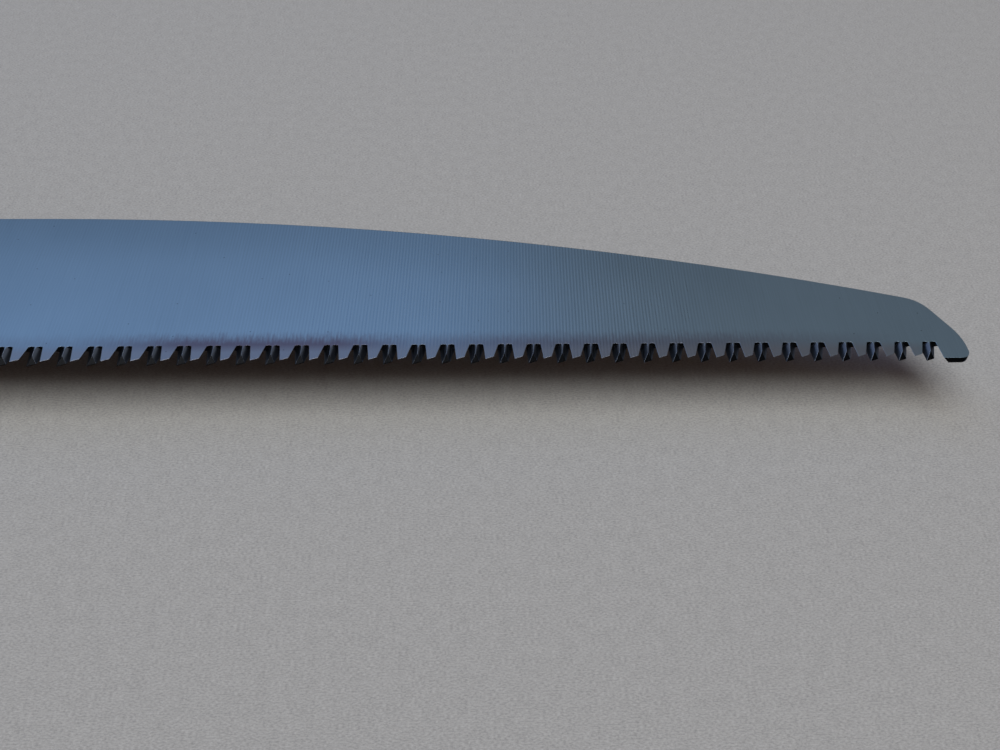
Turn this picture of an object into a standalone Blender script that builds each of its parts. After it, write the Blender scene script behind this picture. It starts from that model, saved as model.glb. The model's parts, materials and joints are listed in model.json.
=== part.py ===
"""Folding pull saw: ground blade, plated frame, back lever lock, moulded scales.

The saw lies on its left side. Inside this file the pivot of the blade is the origin, +X runs along the
tooth line to the nose, +Y to the back of the blade and z = 0 is the middle of the blade. The last step
moves the whole saw so that the origin is under the middle of its box, on the surface it lies on.
All sizes are metres, and values whose names end in DEG are degrees.
"""

import math

import bmesh
import bpy
from mathutils import Vector

# Clearances
FACE_GAP = 0.0002
SEAT_GAP = 0.0003
RUN_GAP = 0.0001

# Blade
BLADE_THICKNESS = 0.0012
BLADE_HEIGHT = 0.0339
PIVOT_HEIGHT = 0.012
NOSE_X = 0.1945
TOOTHED_LENGTH = 0.170
LAND_LENGTH = 0.0052
LAND_DROP = 0.0004
BACK_FLAT_END = 0.0299
BACK_RADIUS = 0.558
BACK_TURN_DEG = 16.3
NOSE_SLOPE_DEG = 62.2
NOSE_KNEE_RISE = 0.0011
NOSE_CORNER_RADIUS = 0.0062
NOSE_KNEE_RADIUS = 0.011
LAND_CORNER_RADIUS = 0.0016

# Teeth
TOOTH_PITCH = 0.00246
TOOTH_DEPTH = 0.00345
TOOTH_RAKE_DEG = 5.0
TOOTH_BACK_DEG = 17.0
TIP_WIDTH = 0.00145
TIP_SLOPE_DEG = 21.0
BEVEL_SLANT = 0.00116
TIP_BEVEL_DEPTH = 0.0010
GULLET_ARCH = 0.00012

# Tang
TANG_RADIUS = 0.0125
SHOULDER_X = 0.0062
SHOULDER_LEAN = 0.0033
SHOULDER_RADIUS = 0.003
FOLD_DEG = 178.0

# Pivot
BUSH_RADIUS = 0.004
BOLT_RADIUS = 0.003
BOLT_HEAD_RADIUS = 0.007
BOLT_HEAD_HEIGHT = 0.003
BOLT_CHAMFER = 0.0008
BOLT_SOCKET_RADIUS = 0.0029
BOLT_SOCKET_DEPTH = 0.0019
PIVOT_NUT_RADIUS = 0.0058
PIVOT_NUT_HEIGHT = 0.0042
WASHER_RADIUS = 0.008
WASHER_THICKNESS = 0.0007
SPRING_WASHER_RADIUS = 0.0062
SPRING_WASHER_THICKNESS = 0.0006
SPRING_WASHER_DISH = 0.0004

# Side plates: front ear, spine, rear hook and the finger swells of the belly
LINER_THICKNESS = 0.0012
EAR_X = 0.0165
EAR_MARGIN = 0.0046
EAR_RADIUS = 0.007
EAR_LOW_Y = -0.005
EAR_LOW_RADIUS = 0.010
SPINE_RISE = 0.005
SPINE_FRONT_X = -0.061
SPINE_MIDDLE_X = -0.125
SPINE_MIDDLE_FALL = 0.0008
SPINE_REAR_BACK = 0.022
SPINE_REAR_FALL = 0.004
SPINE_END_FALL = 0.0075
SPINE_END_RADIUS = 0.001
SPINE_RADIUS = 0.150
SPINE_REAR_RADIUS = 0.100
HOOK_Y = -0.0170
HOOK_RADIUS = 0.004
HOOK_NECK_BACK = 0.014
HOOK_NECK_Y = -0.0128
HOOK_NECK_RADIUS = 0.020
REAR_SWELL_BACK = 0.047
REAR_SWELL_Y = -0.0125
REAR_SWELL_RADIUS = 0.060
PALM_HOLLOW_X = -0.105
PALM_HOLLOW_Y = -0.0095
PALM_HOLLOW_RADIUS = 0.070
FRONT_SWELL_X = -0.060
FRONT_SWELL_Y = -0.0120
FRONT_SWELL_RADIUS = 0.040
FINGER_HOLLOW_X = -0.034
FINGER_HOLLOW_Y = -0.0090
FINGER_HOLLOW_RADIUS = 0.020
CHIN_Y = -0.0158
CHIN_REAR_X = -0.016
CHIN_REAR_RADIUS = 0.014
CHIN_FRONT_X = 0.010
CHIN_FRONT_RADIUS = 0.013

# Spine and cross pins
SLOT_CLEARANCE = 0.003
TOOTH_ROOM = 0.0016
SPACER_FRONT_X = -0.058
SPACER_TOP_MARGIN = 0.0006
SPACER_CORNER = 0.001
RIVET_RADIUS = 0.0016
RIVET_FRONT_X = -0.100
RIVET_REAR_X = -0.165
RIVET_DEPTH = 0.0035
STOP_PIN_RADIUS = 0.0016
STOP_HEAD_RADIUS = 0.0025
STOP_HEAD_TOP_RADIUS = 0.0017
STOP_HEAD_HEIGHT = 0.0008
STOP_TENON_RADIUS = 0.0012
OPEN_STOP_X = 0.0115
CLOSED_STOP_X = 0.012

# Lock lever
LOCK_DEG = 84.0
LOCK_TOOTH_WIDTH = 0.0044
LOCK_TOOTH_CORNER = 0.0004
NOTCH_DEPTH = 0.0028
NOTCH_GAP = 0.00035
LEVER_LIFT_DEG = 6.0
LEVER_PIN_X = -0.028
LEVER_PIN_RISE = 0.0045
LEVER_PIN_RADIUS = 0.00175
LEVER_BOSS_RADIUS = 0.0036
LEVER_BOSS_CORNER = 0.0025
LEVER_ARM_DROP = 0.0014
LEVER_ARM_START = 0.0079
LEVER_HEIGHT = 0.0056
LEVER_NECK_BACK = 0.0047
LEVER_TAIL_FRONT_TOP = 0.0072
LEVER_TAIL_FRONT_UNDER = 0.0065
LEVER_TAIL_END = -0.054
LEVER_TAIL_TOP = 0.006
LEVER_TAIL_UNDER = 0.0006
LEVER_CORNER = 0.002
LEVER_BEND_RADIUS = 0.003

# Thumb pad, its dip in the spine, and the lock spring
PAD_FRONT_X = -0.0365
PAD_REAR_X = -0.0556
PAD_UNDER = 0.0029
PAD_FRONT_TOP = 0.0068
PAD_REAR_TOP = 0.0088
PAD_FRONT_LEAN = 0.0008
PAD_FRONT_RADIUS = 0.0025
PAD_RAMP = 0.006
PAD_RAMP_RADIUS = 0.008
PAD_REAR_LEAN = 0.0012
PAD_REAR_RADIUS = 0.0018
PAD_UNDER_RADIUS = 0.001
PAD_WIDTH = 0.012
PAD_EDGE = 0.0011
PAD_GROOVES = 4
PAD_GROOVE_START = 0.0034
PAD_GROOVE_PITCH = 0.0023
PAD_GROOVE_RADIUS = 0.0006
RECESS_FRONT_X = -0.0345
RECESS_REAR_X = -0.0578
RECESS_RISE = 0.002
RECESS_FLARE = 0.004
RECESS_RADIUS = 0.002
SPRING_THICKNESS = 0.0007
SPRING_ANCHOR = 0.013
SPRING_FRONT_X = -0.042
SPRING_END_RADIUS = 0.0002

# Scales and their soft inlays
HANDLE_THICKNESS = 0.023
GRIP_REVEAL = 0.0008
GRIP_FRONT_TOP_X = -0.019
GRIP_FRONT_BOTTOM_X = -0.0255
GRIP_ROUND = 0.0072
GRIP_ROUND_HEIGHT = 0.0066
GRIP_FRONT_ROUND = 0.0045
GRIP_REAR_ROUND = 0.0004
INLAY_FRONT_X = -0.047
INLAY_REAR_BACK = 0.029
INLAY_TOP_Y = 0.0095
INLAY_TOP_FALL = 0.0022
INLAY_BELLY_MARGIN = 0.0080
INLAY_FRONT_RISE = 0.0015
INLAY_CORNER = 0.005
INLAY_DEPTH = 0.0016
INLAY_SINK = 0.0001
INLAY_GROOVE_PITCH = 0.0075
INLAY_GROOVE_WIDTH = 0.0017
INLAY_GROOVE_DEPTH = 0.0007
INLAY_GROOVE_LEAN_DEG = 24.0

# Handle screws and nuts
SCREW_RADIUS = 0.00175
SCREW_HEAD_RADIUS = 0.0035
SCREW_HEAD_RIM = 0.0005
SCREW_SINK = 0.0013
SCREW_SOCKET_RADIUS = 0.0013
SCREW_SOCKET_DEPTH = 0.0014
NUT_RADIUS = 0.0034
NUT_HEIGHT = 0.0028
NUT_SINK = 0.0012
SCREW_FRONT_X = -0.078
SCREW_FRONT_Y = 0.017
SCREW_MIDDLE_X = -0.135
SCREW_MIDDLE_Y = 0.0155
SCREW_REAR_Y = 0.0015
SCREW_REAR_BACK = 0.0025

# End loop
TONGUE_LENGTH = 0.009
TONGUE_MARGIN = 0.004
TONGUE_CORNER = 0.002
LOOP_LENGTH = 0.0150
LOOP_HALF_THICKNESS = 0.0082
LOOP_EDGE = 0.0026
LOOP_CORNER = 0.0085
LOOP_SHOULDER_BACK = 0.0043
LOOP_SHOULDER_DROP = 0.0028
LOOP_JOINT_ROUND = 0.00026
HOLE_LENGTH = 0.013
HOLE_WIDTH = 0.008
HOLE_BACK = 0.0074
HOLE_Y = -0.0008

# Facets
ARC_STEPS = 5
BACK_STEPS = 18
ROUND_STEPS = 5
EDGE_STEPS = 3
FINE_SIDES = 36
SIDES = 18
GROOVE_SIDES = 12
FILLET_SHARE = 0.995

# Levels above the middle of the blade
blade_half = BLADE_THICKNESS / 2
washer_z = blade_half + FACE_GAP
slot_half = washer_z + WASHER_THICKNESS + FACE_GAP
plate_half = slot_half - FACE_GAP
liner_out = slot_half + LINER_THICKNESS
liner_seat = liner_out + FACE_GAP
grip_in = liner_out + SEAT_GAP
grip_out = HANDLE_THICKNESS / 2

# Lines of the blade, and the folded tooth line that the frame keeps clear of
gullet_y = -PIVOT_HEIGHT
back_y = BLADE_HEIGHT - PIVOT_HEIGHT
land_y = gullet_y - TOOTH_DEPTH - LAND_DROP
land_x = NOSE_X - LAND_LENGTH
tooth_count = round(TOOTHED_LENGTH / TOOTH_PITCH)
tooth_reach = PIVOT_HEIGHT + TOOTH_DEPTH

# Lines of the handle
lever_pin = Vector((LEVER_PIN_X, tooth_reach + LEVER_PIN_RISE))
spine_y = lever_pin.y + SPINE_RISE
tongue_x = -(NOSE_X + SLOT_CLEARANCE)
rear_x = tongue_x - TONGUE_LENGTH
loop_x = rear_x - SEAT_GAP


def polar(radius, degrees):
    angle = math.radians(degrees)
    return Vector((radius * math.cos(angle), radius * math.sin(angle)))


def turned_by(point, degrees, centre=Vector((0.0, 0.0))):
    arm = Vector(point) - centre
    along = polar(1.0, degrees)
    return centre + Vector((arm.x * along.x - arm.y * along.y, arm.x * along.y + arm.y * along.x))


def meet(point_a, along_a, point_b, along_b):
    """Where the line through point_a meets the line through point_b."""
    cross = along_a.x * along_b.y - along_a.y * along_b.x
    apart = point_b - point_a
    return point_a + along_a * ((apart.x * along_b.y - apart.y * along_b.x) / cross)


def level_at(start, end, x):
    """Height of the straight edge from start to end at x."""
    share = (x - start[0]) / (end[0] - start[0])
    return start[1] + share * (end[1] - start[1])


def arc(radius, start_deg, end_deg, steps):
    """Points of an arc about the pivot, ends left out."""
    return [polar(radius, start_deg + (end_deg - start_deg) * i / steps) for i in range(1, steps)]


def fillet(before, corner, after, reach, steps):
    """Points of the arc that rounds a corner and starts and ends at reach from it."""
    to_before = (before - corner).normalized()
    to_after = (after - corner).normalized()
    half = to_before.angle(to_after) / 2
    centre = corner + (to_before + to_after).normalized() * (reach / math.cos(half))
    first = corner + to_before * reach - centre
    last = corner + to_after * reach - centre
    start = math.degrees(math.atan2(first.y, first.x))
    sweep = math.degrees(math.atan2(last.y, last.x)) - start
    sweep = (sweep + 180) % 360 - 180
    return [centre + polar(first.length, start + sweep * i / steps) for i in range(steps + 1)]


def shared_reach(own, other, edge):
    """Reach of a rounding along an edge, cut down where the roundings at its two ends need more than that."""
    spare = FILLET_SHARE * edge.length
    return own if own + other <= spare else spare * own / (own + other)


def rounded(corners, closed=True):
    """Outline through corners (x, y, radius) or (x, y, radius, steps). A radius of 0 is a sharp corner."""
    places = [Vector(corner[:2]) for corner in corners]
    count = len(places)
    reaches = []
    for i, corner in enumerate(corners):
        at_end = not closed and i in (0, count - 1)
        sharp = corner[2] == 0 or at_end
        turn = 0 if sharp else (places[i - 1] - places[i]).angle(places[(i + 1) % count] - places[i])
        reaches.append(0 if sharp else corner[2] / math.tan(turn / 2))
    points = []
    for i, corner in enumerate(corners):
        if reaches[i] == 0:
            points.append(places[i])
            continue
        j = (i + 1) % count
        reach = min(
            shared_reach(reaches[i], reaches[i - 1], places[i - 1] - places[i]),
            shared_reach(reaches[i], reaches[j], places[j] - places[i]),
        )
        steps = corner[3] if len(corner) > 3 else ARC_STEPS
        points += fillet(places[i - 1], places[i], places[j], reach, steps)
    return points


def inset(corners, amounts):
    """Corners of the anticlockwise outline moved inwards; amounts[i] belongs to the edge after corner i."""
    places = [Vector(corner[:2]) for corner in corners]
    count = len(places)
    along = [(places[(i + 1) % count] - places[i]).normalized() for i in range(count)]
    moved = []
    for i, corner in enumerate(corners):
        before, after = along[i - 1], along[i]
        start = places[i] + Vector((-before.y, before.x)) * amounts[i - 1]
        end = places[i] + Vector((-after.y, after.x)) * amounts[i]
        bend = before.x * after.y - before.y * after.x
        place = meet(start, before, end, after)
        radius = corner[2] - math.copysign((amounts[i - 1] + amounts[i]) / 2, bend)
        moved.append((place.x, place.y, max(radius, GRIP_REAR_ROUND)))
    return moved


def box_corners(left, right, low, high):
    return [Vector((right, high)), Vector((left, high)), Vector((left, low)), Vector((right, low))]


def ring_at(outline, z):
    return [(point.x, point.y, z) for point in outline]


def add_loft(bm, rings):
    """Closed body through rings of equal length, with flat caps."""
    loops = [[bm.verts.new(point) for point in ring] for ring in rings]
    for lower, upper in zip(loops, loops[1:]):
        for i in range(len(lower)):
            j = (i + 1) % len(lower)
            bm.faces.new((lower[i], lower[j], upper[j], upper[i]))
    bm.faces.new(reversed(loops[0]))
    bm.faces.new(loops[-1])


def add_prism(bm, outline, end_a, end_b):
    low, high = sorted((end_a, end_b))
    add_loft(bm, [ring_at(outline, low), ring_at(outline, high)])


def rolled_rings(corners, share, draw, height, top, steps):
    """Outlines that roll over from an upright wall to a flat face, each edge by its share of draw."""
    rings = []
    for step in range(steps + 1):
        turn = math.pi / 2 * step / steps
        amounts = [draw * (1 - math.cos(turn)) * part for part in share]
        rings.append((rounded(inset(corners, amounts)), top - height * (1 - math.sin(turn))))
    return rings


def add_twin_loft(bm, rings):
    """Body that is the same above and below the middle of the blade, from the rings of its upper half."""
    lower = [ring_at(outline, -z) for outline, z in reversed(rings)]
    add_loft(bm, lower + [ring_at(outline, z) for outline, z in rings])


def side_point(centre, radius, z, index, sides, flats):
    """One point of a round ring, or of a ring with flats whose corners are at that radius."""
    angle = 2 * math.pi * index / sides
    if flats:
        sector = 2 * math.pi / flats
        radius *= math.cos(sector / 2) / math.cos(angle % sector - sector / 2)
    return (centre[0] + radius * math.cos(angle), centre[1] + radius * math.sin(angle), z)


def add_turned(bm, centre, profile, sides=SIDES, hollow=False):
    """Body of (radius, z) or (radius, z, flats) steps about an upright axis; hollow closes it as a ring."""
    loops = []
    for step in profile:
        flats = step[2] if len(step) > 2 else 0
        count = sides if step[0] else 1
        ring = [side_point(centre, step[0], step[1], i, sides, flats) for i in range(count)]
        loops.append([bm.verts.new(point) for point in ring])
    pairs = list(zip(loops, loops[1:]))
    if hollow:
        pairs.append((loops[-1], loops[0]))
    for lower, upper in pairs:
        for i in range(sides):
            j = (i + 1) % sides
            below = [lower[i % len(lower)], lower[j % len(lower)]]
            above = [upper[j % len(upper)], upper[i % len(upper)]]
            bm.faces.new(dict.fromkeys(below + above))


def add_rod(bm, centre, radius, low, high, sides=SIDES):
    add_turned(bm, centre, [(0, low), (radius, low), (radius, high), (0, high)], sides)


def add_ring(bm, centre, inner, outer, low, high, sides=FINE_SIDES):
    profile = [(inner, low), (outer, low), (outer, high), (inner, high)]
    add_turned(bm, centre, profile, sides, hollow=True)


def material(name, colour, roughness, metallic):
    finish = bpy.data.materials.new(name)
    finish.use_nodes = True
    shader = finish.node_tree.nodes["Principled BSDF"]
    shader.inputs["Base Color"].default_value = (*colour, 1.0)
    shader.inputs["Roughness"].default_value = roughness
    shader.inputs["Metallic"].default_value = metallic
    finish.diffuse_color = (*colour, 1.0)
    return finish


def empty(name, parent=None, place=(0.0, 0.0, 0.0)):
    guide = bpy.data.objects.new(name, None)
    guide.parent = parent
    guide.location = place
    bpy.context.collection.objects.link(guide)
    return guide


def make_object(name, bm, parent, origin):
    """Object of the finished bmesh, whose own origin is the point origin of the saw."""
    bmesh.ops.translate(bm, verts=bm.verts, vec=(-origin[0], -origin[1], 0.0))
    bmesh.ops.recalc_face_normals(bm, faces=bm.faces)
    mesh = bpy.data.meshes.new(name)
    bm.to_mesh(mesh)
    bm.free()
    body = bpy.data.objects.new(name, mesh)
    body.parent = parent
    bpy.context.collection.objects.link(body)
    return body


def node(name, bm, finish, parent, origin=(0.0, 0.0), smooth_deg=30.0):
    piece = make_object(name, bm, parent, origin)
    piece.data.materials.append(finish)
    piece.data.shade_smooth()
    piece.data.set_sharp_from_angle(angle=math.radians(smooth_deg))
    return piece


def combine(piece, name, bm, operation="DIFFERENCE", origin=(0.0, 0.0)):
    """Cuts the shapes in bm out of the piece, or joins them to it."""
    tool = make_object(f"{piece.name}_{name}", bm, piece.parent, origin)
    tool.hide_render = True
    tool.display_type = "WIRE"
    change = piece.modifiers.new(name, "BOOLEAN")
    change.operation = operation
    change.solver = "EXACT"
    change.object = tool


def drill(piece, name, holes, origin=(0.0, 0.0), sides=SIDES):
    """Through holes (x, y, radius)."""
    bm = bmesh.new()
    for x, y, radius in holes:
        add_rod(bm, (x, y), radius, -HANDLE_THICKNESS, HANDLE_THICKNESS, sides)
    combine(piece, name, bm, origin=origin)


# Outlines and places that several pieces share

def handle_corners():
    """Outline of the side plates, anticlockwise from the upper front ear."""
    return [
        (EAR_X, open_stop_place()[1] + EAR_MARGIN, EAR_RADIUS),
        (SPINE_FRONT_X, spine_y, SPINE_RADIUS),
        (SPINE_MIDDLE_X, spine_y - SPINE_MIDDLE_FALL, SPINE_RADIUS),
        (rear_x + SPINE_REAR_BACK, spine_y - SPINE_REAR_FALL, SPINE_REAR_RADIUS),
        (rear_x, spine_y - SPINE_END_FALL, SPINE_END_RADIUS),
        (rear_x, HOOK_Y, HOOK_RADIUS),
        (rear_x + HOOK_NECK_BACK, HOOK_NECK_Y, HOOK_NECK_RADIUS),
        *belly_corners(),
        (FINGER_HOLLOW_X, FINGER_HOLLOW_Y, FINGER_HOLLOW_RADIUS),
        (CHIN_REAR_X, CHIN_Y, CHIN_REAR_RADIUS),
        (CHIN_FRONT_X, CHIN_Y, CHIN_FRONT_RADIUS),
        (EAR_X, EAR_LOW_Y, EAR_LOW_RADIUS),
    ]


def belly_corners():
    """Swells and hollow of the belly that the soft inlays follow."""
    return [
        (rear_x + REAR_SWELL_BACK, REAR_SWELL_Y, REAR_SWELL_RADIUS),
        (PALM_HOLLOW_X, PALM_HOLLOW_Y, PALM_HOLLOW_RADIUS),
        (FRONT_SWELL_X, FRONT_SWELL_Y, FRONT_SWELL_RADIUS),
    ]


def spine_corners():
    return handle_corners()[1:5]


def grip_corners():
    """Outline of the scales: the plates' outline drawn in, with a slanted front edge of their own."""
    plate = handle_corners()
    inner = inset(plate, [GRIP_REVEAL] * len(plate))
    top_y = level_at(inner[0], inner[1], GRIP_FRONT_TOP_X)
    bottom_y = level_at(inner[-4], inner[-3], GRIP_FRONT_BOTTOM_X)
    return [
        (GRIP_FRONT_TOP_X, top_y, GRIP_FRONT_ROUND),
        *inner[1:-3],
        (GRIP_FRONT_BOTTOM_X, bottom_y, GRIP_FRONT_ROUND),
    ]


def inlay_corners():
    """Outline of the soft inlay, which follows the finger swells of the belly."""
    belly = [(x, y + INLAY_BELLY_MARGIN, radius) for x, y, radius in belly_corners()]
    rear = rear_x + INLAY_REAR_BACK
    return [
        (INLAY_FRONT_X, INLAY_TOP_Y, INLAY_CORNER),
        (rear, INLAY_TOP_Y - INLAY_TOP_FALL, INLAY_CORNER),
        (rear, belly[0][1], INLAY_CORNER),
        *belly,
        (INLAY_FRONT_X, belly[-1][1] + INLAY_FRONT_RISE, INLAY_CORNER),
    ]


def screw_places():
    return {
        "front": (SCREW_FRONT_X, SCREW_FRONT_Y),
        "middle": (SCREW_MIDDLE_X, SCREW_MIDDLE_Y),
        "rear": (tongue_x - SCREW_REAR_BACK, SCREW_REAR_Y),
    }


def rivet_places():
    spine = spine_corners()
    front_y = level_at(spine[0], spine[1], RIVET_FRONT_X) - RIVET_DEPTH
    rear_y = level_at(spine[1], spine[2], RIVET_REAR_X) - RIVET_DEPTH
    return {"front": (RIVET_FRONT_X, front_y), "rear": (RIVET_REAR_X, rear_y)}


def open_stop_place():
    """Cross pin just above the back of the open blade."""
    return (OPEN_STOP_X, back_y + STOP_PIN_RADIUS + SEAT_GAP)


def closed_stop_place():
    """Cross pin that the heel of the folded blade comes to rest under."""
    return turned_by((CLOSED_STOP_X, -(TANG_RADIUS + STOP_PIN_RADIUS + SEAT_GAP)), -FOLD_DEG)


def lock_tooth(gap):
    """Sunk lock tooth grown by gap: front and rear corner of its end, and the way it moves out."""
    seat = polar(TANG_RADIUS - NOTCH_DEPTH + NOTCH_GAP, LOCK_DEG)
    across = (seat - lever_pin).normalized()
    out = Vector((-across.y, across.x))
    side = across * (LOCK_TOOTH_WIDTH / 2 + gap)
    end = seat - out * gap
    return end + side, end - side, out


def rim_point(start, along):
    """Where a line from inside the tang leaves its round rim."""
    half = start.dot(along)
    return start + along * (math.sqrt(half * half - start.length_squared + TANG_RADIUS ** 2) - half)


def notch(degrees):
    """Corners of a lock notch in the rim of the tang, turned about the pivot, in anticlockwise order."""
    front, rear, out = lock_tooth(NOTCH_GAP)
    corners = [rim_point(front, out), front, rear, rim_point(rear, out)]
    return [turned_by(corner, degrees) for corner in corners]


# Blade

def tooth_points(x):
    """Corners of one ground tooth: (x, depth below the gullet line, share of the way to its narrow face)."""
    rake = math.tan(math.radians(TOOTH_RAKE_DEG))
    back = math.tan(math.radians(TOOTH_BACK_DEG))
    heel_depth = TOOTH_DEPTH - TIP_WIDTH * math.tan(math.radians(TIP_SLOPE_DEG))
    tip_x = x + TOOTH_DEPTH * rake
    root_x = tip_x + TIP_WIDTH + heel_depth * back
    ridge_depth = (root_x - x - 2 * BEVEL_SLANT) / (rake + back)
    end_depth = heel_depth - TIP_BEVEL_DEPTH
    end_share = (root_x - x - end_depth * (rake + back)) / (2 * BEVEL_SLANT)
    return {
        "wide_lead": (x, 0.0, 0.0),
        "tip": (tip_x, TOOTH_DEPTH, 0.0),
        "tip_heel": (tip_x + TIP_WIDTH, heel_depth, 0.0),
        "wide_trail": (root_x, 0.0, 0.0),
        "narrow_lead": (x + BEVEL_SLANT, 0.0, 1.0),
        "ridge": (x + BEVEL_SLANT + ridge_depth * rake, ridge_depth, 1.0),
        "narrow_trail": (root_x - BEVEL_SLANT, 0.0, 1.0),
        "ridge_end": (x + end_depth * rake + end_share * BEVEL_SLANT, end_depth, end_share),
    }


def add_tooth(bm, x, wide_up):
    """One tooth, ground on both flanks and across its tip from the side away from its wide face."""
    wide_z = blade_half if wide_up else -blade_half
    corner = {}
    for name, (along, depth, share) in tooth_points(x).items():
        corner[name] = bm.verts.new((along, gullet_y - depth, wide_z * (1 - 2 * share)))
    for names in (
        ("wide_lead", "tip", "tip_heel", "wide_trail"),
        ("narrow_lead", "ridge", "narrow_trail"),
        ("wide_lead", "tip", "ridge_end", "ridge", "narrow_lead"),
        ("wide_trail", "tip_heel", "ridge_end", "ridge", "narrow_trail"),
        ("tip", "tip_heel", "ridge_end"),
    ):
        bm.faces.new([corner[name] for name in names])
    lead = (corner["wide_lead"], corner["narrow_lead"])
    trail = (corner["wide_trail"], corner["narrow_trail"])
    return (lead, trail) if wide_up else (lead[::-1], trail[::-1])


def tang_rim():
    """Rim of the tang from the open notch round to the closed one."""
    open_notch = notch(0.0)
    closed_notch = notch(FOLD_DEG)
    start = math.degrees(math.atan2(open_notch[-1].y, open_notch[-1].x))
    end = math.degrees(math.atan2(closed_notch[0].y, closed_notch[0].x)) % 360
    return [*open_notch, *arc(TANG_RADIUS, start, end, BACK_STEPS), *closed_notch]


def blade_outline(land_tip):
    """Outline from the tip of the land round nose, back, shoulder and tang to the heel."""
    back_slope = polar(1.0, -BACK_TURN_DEG)
    nose_slope = polar(1.0, -NOSE_SLOPE_DEG)
    back_reach = BACK_RADIUS * math.tan(math.radians(BACK_TURN_DEG) / 2)
    back_corner = Vector((BACK_FLAT_END + back_reach, back_y))
    knee = Vector((NOSE_X, gullet_y + NOSE_KNEE_RISE))
    nose_corner = meet(back_corner, back_slope, knee, nose_slope)
    first_tooth = land_x - tooth_count * TOOTH_PITCH
    return rounded([
        (*land_tip, 0),
        (NOSE_X, land_y, LAND_CORNER_RADIUS),
        (*knee, NOSE_KNEE_RADIUS),
        (*nose_corner, NOSE_CORNER_RADIUS),
        (*back_corner, BACK_RADIUS, BACK_STEPS),
        (SHOULDER_X + SHOULDER_LEAN, back_y, SHOULDER_RADIUS),
        (SHOULDER_X, TANG_RADIUS, SHOULDER_RADIUS),
        *[(*point, 0) for point in tang_rim()],
        (first_tooth - TOOTH_PITCH / 2, -TANG_RADIUS, 0),
    ], closed=False)


def make_blade(finish, parent):
    """Blade as a top and a bottom loop of points, which part at the ground flanks, with the teeth between."""
    bm = bmesh.new()
    pairs = []
    toothed = set()

    def add_pair(top, bottom):
        high = bm.verts.new((top[0], top[1], blade_half))
        low = bm.verts.new((bottom[0], bottom[1], -blade_half))
        pairs.append((high, low))

    def add_gullet(next_top, next_bottom):
        high, low = pairs[-1]
        crown = gullet_y + GULLET_ARCH
        add_pair(((high.co.x + next_top) / 2, crown), ((low.co.x + next_bottom) / 2, crown))

    for left in range(tooth_count, 0, -1):
        lead, trail = add_tooth(bm, land_x - left * TOOTH_PITCH, wide_up=left % 2 == 0)
        if pairs:
            add_gullet(lead[0].co.x, lead[1].co.x)
        toothed.add(len(pairs))
        pairs += [lead, trail]
    add_gullet(land_x, land_x + BEVEL_SLANT)
    rake = math.tan(math.radians(TOOTH_RAKE_DEG)) * (gullet_y - land_y)
    land_tip = Vector((land_x + rake, land_y))
    add_pair((land_x, gullet_y), (land_x + BEVEL_SLANT, gullet_y))
    add_pair(land_tip, (land_tip.x + BEVEL_SLANT, land_y))
    for point in blade_outline(land_tip)[1:]:
        add_pair(point, point)

    for i, (high, low) in enumerate(pairs):
        if i not in toothed:
            next_high, next_low = pairs[(i + 1) % len(pairs)]
            bm.faces.new((high, next_high, next_low, low))
    bm.faces.new([pair[0] for pair in pairs])
    bm.faces.new([pair[1] for pair in pairs])
    blade = node("blade", bm, finish, parent, smooth_deg=20.0)
    drill(blade, "pivot_hole", [(0.0, 0.0, BUSH_RADIUS + RUN_GAP)], sides=FINE_SIDES)


# Pivot

def make_bush(finish, root):
    bm = bmesh.new()
    add_ring(bm, (0, 0), BOLT_RADIUS + RUN_GAP, BUSH_RADIUS, -plate_half, plate_half)
    node("pivot_bush", bm, finish, root)


def make_washers(finish, root):
    for side, sign in (("right", 1), ("left", -1)):
        bm = bmesh.new()
        outer_z = washer_z + WASHER_THICKNESS
        add_ring(bm, (0, 0), BUSH_RADIUS + RUN_GAP, WASHER_RADIUS, sign * washer_z, sign * outer_z)
        node(f"pivot_washer_{side}", bm, finish, root)


def make_spring_washer(finish, root):
    hole = BOLT_RADIUS + RUN_GAP
    crown = liner_seat + SPRING_WASHER_DISH
    bm = bmesh.new()
    add_turned(bm, (0, 0), [
        (hole, crown), (SPRING_WASHER_RADIUS, liner_seat),
        (SPRING_WASHER_RADIUS, liner_seat + SPRING_WASHER_THICKNESS), (hole, crown + SPRING_WASHER_THICKNESS),
    ], FINE_SIDES, hollow=True)
    node("pivot_spring_washer", bm, finish, root)


def make_pivot_bolt(finish, root):
    head = liner_seat + SPRING_WASHER_DISH + SPRING_WASHER_THICKNESS + FACE_GAP
    top = head + BOLT_HEAD_HEIGHT
    end = -(liner_seat + PIVOT_NUT_HEIGHT)
    bm = bmesh.new()
    add_turned(bm, (0, 0), [
        (0, end), (BOLT_RADIUS - BOLT_CHAMFER / 2, end), (BOLT_RADIUS, end + BOLT_CHAMFER / 2),
        (BOLT_RADIUS, head), (BOLT_HEAD_RADIUS, head), (BOLT_HEAD_RADIUS, top - BOLT_CHAMFER),
        (BOLT_HEAD_RADIUS - BOLT_CHAMFER, top), (BOLT_SOCKET_RADIUS, top, 6),
        (BOLT_SOCKET_RADIUS, top - BOLT_SOCKET_DEPTH, 6), (0, top - BOLT_SOCKET_DEPTH),
    ], FINE_SIDES)
    node("pivot_bolt", bm, finish, root)


def make_pivot_nut(finish, root):
    hole = BOLT_RADIUS + RUN_GAP
    low = -(liner_seat + PIVOT_NUT_HEIGHT)
    across_flats = PIVOT_NUT_RADIUS * math.cos(math.pi / 6)
    bm = bmesh.new()
    add_turned(bm, (0, 0), [
        (hole, low), (across_flats, low), (PIVOT_NUT_RADIUS, low + BOLT_CHAMFER, 6),
        (PIVOT_NUT_RADIUS, -liner_seat, 6), (hole, -liner_seat),
    ], FINE_SIDES, hollow=True)
    node("pivot_nut", bm, finish, root)


# Frame

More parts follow.
